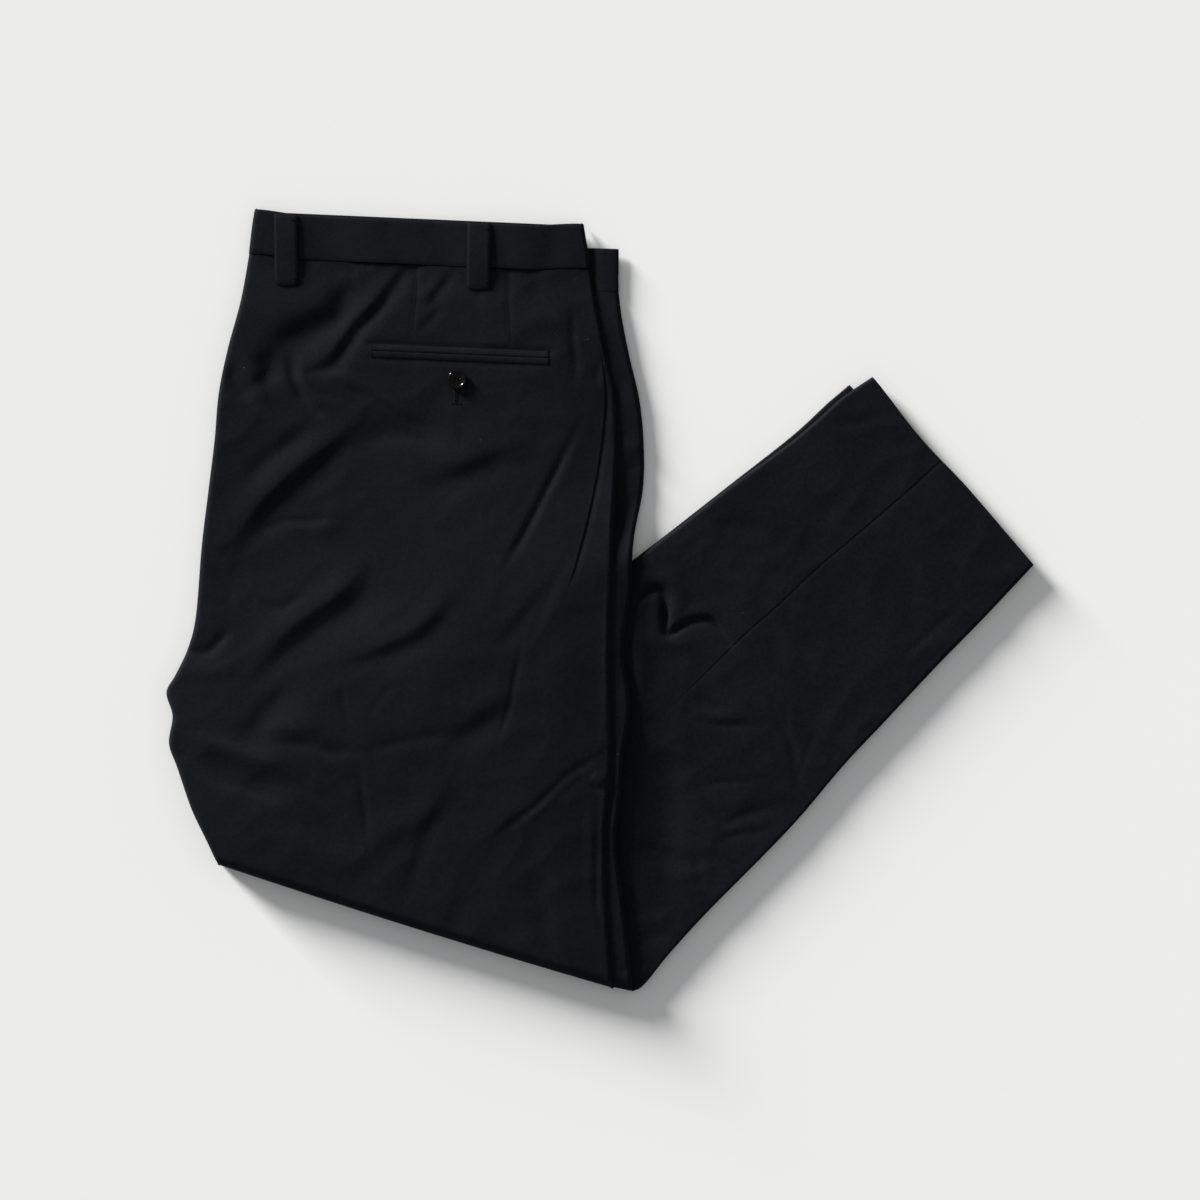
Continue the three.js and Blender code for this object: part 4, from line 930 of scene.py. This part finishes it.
# The far leg at the thigh, under the near one: a stack whose left side is a second folded edge
def far_leg():
    rows = slice(0, len(strip_places) - (np.degrees(strip_knee) < 60).sum())
    steps = np.arange(len(thigh_places))[rows]
    keep = steps[::2]
    if keep[-1] != steps[-1]:
        keep = np.append(keep, steps[-1])
    back_inner, front_inner, strip_inner = (
        inner_face(outer, LAYER_STEP)[keep] for outer in (back_outer, front_outer, strip_outer)
    )
    near_top = np.concatenate([back_inner[:, 9::3], front_inner[:, 3:-9:3]], axis=1)
    strip_inner = strip_inner[:, 1:-4:2]
    left, near = curve(THIGH["left"], thigh_places[keep]), curve(THIGH["near"], thigh_places[keep])
    inward = unit(near - left)
    level = np.ones(len(thigh_places) - len(knee_angles))
    sine = np.concatenate([level, np.sin(knee_angles)])[keep][:, None]

    def underside(x, y):
        turned = thigh_top(x, y) * (1 - sine) / 2 + 1.8 * sine
        return np.where(sine > 0.999, rest_height(THIGH_FOLDS, x, y), turned)

    # The left edge is a fold of its own, narrower than the near leg's
    lobe = np.radians([0, 25, 50, 75, 90])

    def lobe_points(sign):
        points = []
        for a in lobe:
            inset = LOBE_START + LOBE_RADIUS * (1 - math.cos(a))
            x = left[:, 0] + inward[:, 0] * inset
            y = left[:, 1] + inward[:, 1] * inset
            foot = underside(x[:, None], y[:, None])[:, 0]
            ceiling = thigh_top(x, y) * knee_share[keep] / 2 - 0.1
            middle = (foot + ceiling) / 2
            z = middle + sign * math.sin(a) * (ceiling - foot) / 2
            points.append(xyz(x, y, z))
        return np.stack(points, axis=1)

    upper = np.concatenate([lobe_points(1), near_top, strip_inner], axis=1)
    # Where the shin comes out, it is drawn in under the strip
    shrink = mix(1, DRAWN_IN, smooth(42, 32, strip_outer[keep][:, 0, 1]))[:, None]
    first = strip_inner[:, :1, :2]
    upper[:, -strip_inner.shape[1]:, :2] = first + (strip_inner[..., :2] - first) * shrink[..., None]
    count = upper.shape[1] - len(lobe)
    lower_lobe = lobe_points(-1)
    a, b = lower_lobe[:, -1, :2], upper[:, -1, :2]
    shares = np.linspace(0, 1, count + 1)[1:]
    xy = a[:, None] + (b - a)[:, None] * shares[None, :, None]
    z = underside(xy[..., 0], xy[..., 1])
    base = np.concatenate([xy, z[..., None]], axis=-1)
    lower = np.concatenate([lower_lobe, base], axis=1)
    return upper, lower


far_cloth = cloth("far_leg_cloth", "thigh_inner_layers", [far_leg()], slot="inner_layers")


# The waistband
def band_rim(places):
    """The distance from the band's nearer long edge."""
    return np.minimum(places, len(BAND["left"]) - 1 - places)[:, None] * 12


def near_band():
    places = np.linspace(0, len(BAND["left"]) - 1, 26)
    left, near = curve(BAND["left"], places), curve(BAND["near"], places)
    width = np.linalg.norm(near - left, axis=1)[:, None]
    crease = folded_edge(BAND_RADIUS)[0] * np.ones((len(places), 1))
    right = width - crease[:, ::-1]
    inset = np.hstack([crease, between(crease[:, -1], right[:, 0], BAND_COLUMNS), right])
    x, y = crosswise(left, near, inset)
    y = y - band_sag(x)
    rise, fall = edge_shape(inset)
    foot = np.where(inset < width / 2, BAND_TOP / 2 + 0.6, BAND_CLOTH + 1.5)
    z = mix(foot, BAND_TOP, rise) - SOFT_DIP * fall
    rim_drop = np.where(places[:, None] < 1, 0.7, 0.3)
    z -= rim_drop * (1 - smooth(0, 2.2, band_rim(places))) - 0.35 * crumple(x, y, 31)
    z += rise * (fold_height(BAND_FOLDS, x, y) - BAND_END_DROP * smooth(BAND_END_REACH, 0, width - inset))
    return wall(xyz(x, y, z), BAND_WALL)


band_walls = near_band()
band_cloth = cloth("waistband_cloth_near", "waistband_near", [band_walls])


def far_band():
    places = np.linspace(0, len(BAND["left"]) - 1, 20)
    left, mid, far = (curve(BAND[name], places) for name in ("left", "mid", "far"))
    shares = np.concatenate([[0, 0.003, 0.008, 0.016], np.linspace(0.03, 1, 40)])
    over = left[:, None] + (mid - left)[:, None] * shares[None, :, None]
    ends = np.array([0.2, 0.4, 0.6, 0.8, 0.9, 0.96, 1])
    out = mid[:, None] + (far - mid)[:, None] * ends[None, :, None]
    xy = np.concatenate([over, out], axis=1)
    run = np.linalg.norm(xy - xy[:, :1], axis=-1)
    edge = np.minimum(run, run[:, -1:] - run)
    bevel = 0.8 * (1 - smooth(0, 2, edge))
    bevel = bevel + 0.4 * (1 - smooth(0, 2, band_rim(places)))
    lift = FAR_BAND_LIFT * smooth(-9, -2, xy[..., 0]) + 0.3 * crumple(xy[..., 0], xy[..., 1], 37)
    upper = np.concatenate([xy, (BAND_CLOTH - bevel + lift)[..., None]], axis=-1)
    lower = np.concatenate([xy, (bevel + np.maximum(0, lift))[..., None]], axis=-1)
    return upper, lower


far_band_cloth = cloth("waistband_cloth_far", "waistband_far", [far_band()])


def waist_layers():
    """Three thin layers inside the waistband: its two linings and the shirt curtain between."""
    pairs = []
    # Where each starts along the band's short side, its base and its top
    for start, base, top in ((0.3, 2.55, 3.3), (0.55, 3.6, 4.5), (0.2, 4.9, 5.8)):
        places = np.linspace(start, len(BAND["left"]) - 1, 12)
        left, near = curve(BAND["left"], places), curve(BAND["near"], places)
        inset = between(np.full(len(places), 4.0), np.linalg.norm(near - left, axis=1) - 4.5, 60)
        x, y = crosswise(left, near, inset)
        wave = 0.12 * np.sin(inset / 9 + base)
        pairs.append((xyz(x, y, top + wave), xyz(x, y, base + wave)))
    return pairs


curtain = cloth("waist_linings", "waist_inner_layers", waist_layers(), "inner_layers", LINING)


# Heights on the panels, for what is sewn on them
def tree_of(grids):
    """A tree for rays, of the faces of grids."""
    points, faces, first = [], [], 0
    for grid in grids:
        rows, columns = grid.shape[:2]
        points += grid.reshape(-1, 3).tolist()
        for j in range(rows - 1):
            for i in range(columns - 1):
                k = first + j * columns + i
                faces.append((k, k + 1, k + columns + 1, k + columns))
        first += rows * columns
    return BVHTree.FromPolygons(points, faces)


near_tree = tree_of([back_outer, front_outer, band_walls[0]])


def height_at(x, y, tree=None):
    hit = (tree or near_tree).ray_cast(Vector((x, y, 60)), Vector((0, 0, -1)))
    return hit[0].z if hit[0] else 0.0


heights_at = np.vectorize(height_at, otypes=[float])


# The pocket's two welts
def welt(side):
    run = np.linspace(-POCKET_LENGTH / 2, POCKET_LENGTH / 2, 110)
    profile = ((0, 0.02), (0.07, 0.18), (0.2, 0.26), (0.5, 0.28), (0.8, 0.25), (0.93, 0.16), (1, 0.02))
    grid = []
    for share, height in profile:
        x = POCKET_MIDDLE[0] + run
        y = POCKET_MIDDLE[1] + run * POCKET_SLOPE + side * (0.2 + share * WELT_HEIGHT)
        close = smooth(0, 2, POCKET_LENGTH / 2 - np.abs(run))
        z = heights_at(x, y) + 0.15 + height * (0.4 + 0.6 * close)
        grid.append(xyz(x, y, z))
    upper = np.stack(grid)
    lower = upper.copy()
    lower[..., 2] = heights_at(upper[..., 0], upper[..., 1]) + 0.1
    lower[..., 2] = np.minimum(lower[..., 2], upper[..., 2] - 0.05)
    return upper, lower


welt_walls = welt(1), welt(-1)
welt_upper = cloth("welt_cloth_upper", "pocket_welt_upper", welt_walls[:1])
welt_lower = cloth("welt_cloth_lower", "pocket_welt_lower", welt_walls[1:])


# The belt loops
def belt_loop(top, bottom):
    places = np.linspace(0, 1, 40)
    across = np.array([0, 0.03, 0.08, 0.16, 0.3, 0.5, 0.7, 0.84, 0.92, 0.97, 1])
    x = mix(top[0], bottom[0], places)[:, None] + (across - 0.5) * LOOP_WIDTH
    y = mix(top[1], bottom[1], places)[:, None]
    ground = heights_at(x, y).max(axis=1)
    ground = np.array([ground[max(0, k - 5): k + 6].max() for k in range(len(ground))])
    ground = np.array([ground[max(0, k - 6): k + 7].mean() for k in range(len(ground))])
    bow = LOOP_BOW * np.sin(np.pi * np.minimum(1, places * 1.05)) ** 0.8
    rounded = 0.6 * (1 - smooth(0, 0.1, np.minimum(across, 1 - across)))
    ends = 0.5 * (1 - smooth(0, 0.05, np.minimum(places, 1 - places)))
    to_corner = np.maximum(0, 1 - (1 - places) * LOOP_LENGTH / LOOP_CORNER)
    corner = LOOP_CORNER * (1 - np.sqrt(np.clip(1 - to_corner**2, 0, 1)))
    x = x - np.sign(across - 0.5) * corner[:, None] * np.minimum(1, 2 * np.abs(across - 0.5))
    base = (ground + 0.3 + bow)[:, None]
    return xyz(x, y, base + LOOP_CLOTH - rounded - ends[:, None]), xyz(x, y, base + 0.2 * rounded)


back_loop_walls = belt_loop(*BACK_LOOP)
side_loop_walls = belt_loop(*SIDE_LOOP)
loop_back = cloth("loop_cloth_back", "belt_loop_back", [back_loop_walls])
loop_side = cloth("loop_cloth_side", "belt_loop_side", [side_loop_walls])


# The pocket's button
BUTTON_SIDES = 96
HOLE_SIDES = 24


def lathe(profile, segments):
    """Points and faces of a profile turned round the upright axis."""
    turns = np.linspace(0, 2 * np.pi, segments, endpoint=False)
    points, faces = [(0, 0, profile[0][1]), (0, 0, profile[-1][1])], []
    rings = profile[1:-1]
    for radius, height in rings:
        points += [(radius * math.cos(a), radius * math.sin(a), height) for a in turns]

    def at(ring, i):
        return 2 + ring * segments + i % segments

    for i in range(segments):
        faces.append((0, at(0, i + 1), at(0, i)))
        faces.append((1, at(len(rings) - 1, i), at(len(rings) - 1, i + 1)))
        for ring in range(len(rings) - 1):
            faces.append((at(ring, i), at(ring, i + 1), at(ring + 1, i + 1), at(ring + 1, i)))
    return points, faces


def cylinder(x, y, radius, low, high):
    points, faces = lathe([(0, low), (radius, low), (radius, high), (0, high)], HOLE_SIDES)
    return [(px + x, py + y, pz) for px, py, pz in points], faces


BUTTON_PROFILE = [
    (0, 0), (5.4, 0), (6.4, 0.2), (7.1, 0.6), (7.45, 1.2), (7.4, 1.7), (7.1, 2.2), (6.6, 2.5),
    (6.0, 2.55), (5.5, 2.35), (5.1, 1.95), (4.7, 1.65), (4.2, 1.5), (3, 1.45), (0, 1.45),
]
BUTTON_FACE = 1.55  # the height where its thread lies
BUTTON_HOLE_REACH = 1.9
BUTTON_HOLE_RADIUS = 0.85
button_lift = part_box("pocket_button")[0].z / MM


def pocket_button():
    points, faces = lathe(BUTTON_PROFILE, BUTTON_SIDES)
    disc = make_mesh("button", points, faces, np.zeros((len(points), 2)), HORN)
    drills = []
    for quarter in range(4):
        a = math.pi / 4 + quarter * math.pi / 2
        x, y = BUTTON_HOLE_REACH * math.cos(a), BUTTON_HOLE_REACH * math.sin(a)
        points, faces = cylinder(x, y, BUTTON_HOLE_RADIUS, -1, 5)
        drill = make_mesh("drill", points, faces, np.zeros((len(points), 2)), HORN)
        cut = disc.modifiers.new("hole", "BOOLEAN")
        cut.operation = "DIFFERENCE"
        cut.object = drill
        drills.append(drill)
    bpy.context.view_layer.update()
    made = bpy.data.meshes.new_from_object(disc.evaluated_get(bpy.context.evaluated_depsgraph_get()))
    disc.modifiers.clear()
    disc.data = made
    for drill in drills:
        bpy.data.objects.remove(drill)
    disc.location = Vector((*BUTTON_PLACE, button_lift)) * MM
    return disc


button = pocket_button()
dress(button, "horn", "pocket_button")


# The sewing that shows
def stitches(name, bars, radius=0.19):
    """Short stitches of thread, each from one point to another, thinner at its ends."""
    points, faces, uv = [], [], []
    for start, end in bars:
        start, end = Vector(start), Vector(end)
        side = (end - start).orthogonal().normalized()
        other = (end - start).normalized().cross(side)
        first = len(points)
        sizes = ((0, 0.3), (0.12, 0.85), (0.3, 1), (0.7, 1), (0.88, 0.85), (1, 0.3))
        for share, size in sizes:
            for k in range(8):
                a = math.pi * k / 4
                round_it = side * math.cos(a) + other * math.sin(a)
                points.append(start.lerp(end, share) + round_it * radius * size)
                uv.append((share * (end - start).length * MM, k / 8 * MM))
        for ring in range(len(sizes) - 1):
            for k in range(8):
                a, b = first + 8 * ring + k, first + 8 * ring + (k + 1) % 8
                faces.append((a, b, b + 8, a + 8))
        faces.append(tuple(first + k for k in range(7, -1, -1)))
        faces.append(tuple(first + 8 * (len(sizes) - 1) + k for k in range(8)))
    return dress(make_mesh(name, points, faces, uv, THREAD), "thread")


def on_cloth(x, y, tree=None):
    return (x, y, height_at(x, y, tree) + 0.08)


def stitch_row(xs, y, reach, tree=None):
    """A row of stitches side by side, each upright in the picture."""
    return [(on_cloth(x, y - reach, tree), on_cloth(x, y + reach, tree)) for x in xs]


STITCH_STEP = 0.6
hole_x, hole_top, hole_end = BUTTON_PLACE[0] - 0.7, 162.5, 151.6
purls = []
for hole_y in np.linspace(hole_top, hole_end, 20):
    for way in (-1, 1):
        purls.append((on_cloth(hole_x + 0.18 * way, hole_y), on_cloth(hole_x + 1.2 * way, hole_y)))
hole_bar = stitch_row(hole_x + np.arange(-3.6, 3.7, STITCH_STEP), hole_end - 1, 0.6)
buttonhole = stitches("buttonhole", purls + hole_bar)

welt_tree = tree_of([back_outer, front_outer, welt_walls[0][0], welt_walls[1][0]])
tacks = []
for way in (-1, 1):
    tack_x = POCKET_MIDDLE[0] + way * (POCKET_LENGTH / 2 - 0.6)
    middle_y = POCKET_MIDDLE[1] + way * POCKET_LENGTH / 2 * POCKET_SLOPE
    for tack_y in middle_y + np.arange(-5.4, 5.5, STITCH_STEP):
        tacks.append((on_cloth(tack_x - 0.8, tack_y, welt_tree), on_cloth(tack_x + 0.8, tack_y, welt_tree)))
pocket_tacks = stitches("pocket_tacks", tacks)


def loop_tacks(name, grid, top, bottom):
    """The ends of the bar tacks, which show at the loop's right side."""
    tree = tree_of([grid])
    rows = []
    for (x, y), way in ((top, -5), (bottom, 5)):
        rows += stitch_row(x + np.arange(5.4, 8.1, STITCH_STEP), y + way, 0.7, tree)
    return stitches(name, rows)


back_loop_tacks = loop_tacks("back_loop_tacks", back_loop_walls[0], *BACK_LOOP)
side_loop_tacks = loop_tacks("side_loop_tacks", side_loop_walls[0], *SIDE_LOOP)


def dart_seam(*path):
    """The line where a dart is sewn, stitch by stitch."""
    points = curve(np.array(path, float), np.linspace(0, len(path) - 1, 26))
    places = [(x, y, height_at(x, y) - 0.02) for x, y in points]
    return list(zip(places, places[1:]))


dart_seams = stitches(
    "dart_seams",
    dart_seam((-142, 253), (-142, 232), (-145, 207)) + dart_seam((-71, 249), (-71, 226), (-70, 198)),
    0.16,
)

# The button's thread goes through its holes in two strands each way
strand = BUTTON_HOLE_REACH * math.sqrt(0.5)
face = button_lift + BUTTON_FACE
strands = []
for way in (-1, 1):
    for shift in (-0.22, 0.22):
        y = BUTTON_PLACE[1] + way * strand + shift
        left, right = BUTTON_PLACE[0] - strand, BUTTON_PLACE[0] + strand
        strands.append(((left, y, face), (right, y, face)))
        strands.append(((left, y, button_lift - 0.6), (left, y, face + 0.05)))
        strands.append(((right, y, button_lift - 0.6), (right, y, face + 0.05)))
stitches("button_thread", strands, 0.22)

# The floor
FLOOR_REACH = 6
FLOOR_LEVEL = -0.0001  # in metres
floor_mesh = bpy.data.meshes.new("floor")
corners = [(x * FLOOR_REACH, y * FLOOR_REACH, 0) for x, y in ((-1, -1), (1, -1), (1, 1), (-1, 1))]
floor_mesh.from_pydata(corners, [], [(0, 1, 2, 3)])
floor = bpy.data.objects.new("floor", floor_mesh)
floor.location.z = FLOOR_LEVEL
bpy.context.scene.collection.objects.link(floor)
paper = Nodes("paper")
paper.into("Base Color", paper.ramp(paper.noise(paper.place(), 3), *grey(0.8, 0.806)))
paper.plain(Roughness=0.95, Specular_IOR_Level=0)
floor_mesh.materials.append(paper.material)

# The light and the picture's colours
KEY_ELEVATION = 11
KEY_WAY = Vector((-0.72, 0.69))  # the key light stands to the upper left
KEY_STRENGTH = 11.2
KEY_WIDTH = 15
KEY_COLOUR = (1.0, 0.99, 0.97)
WORLD_STRENGTH = 0.375
WORLD_COLOUR = (0.98, 0.99, 1, 1)
key_data = bpy.data.lights.new("key", "SUN")
key_data.energy = KEY_STRENGTH
key_data.angle = math.radians(KEY_WIDTH)
key_data.color = KEY_COLOUR
key = bpy.data.objects.new("key", key_data)
flat_way = KEY_WAY.normalized()
rise = math.radians(KEY_ELEVATION)
toward = Vector((flat_way.x * math.cos(rise), flat_way.y * math.cos(rise), math.sin(rise)))
key.rotation_mode = "QUATERNION"
key.rotation_quaternion = toward.to_track_quat("Z", "Y")
bpy.context.scene.collection.objects.link(key)
world = bpy.data.worlds.new("studio")
world.use_nodes = True
world.node_tree.nodes["Background"].inputs["Color"].default_value = WORLD_COLOUR
world.node_tree.nodes["Background"].inputs["Strength"].default_value = WORLD_STRENGTH
bpy.context.scene.world = world
bpy.context.scene.view_settings.view_transform = "Standard"
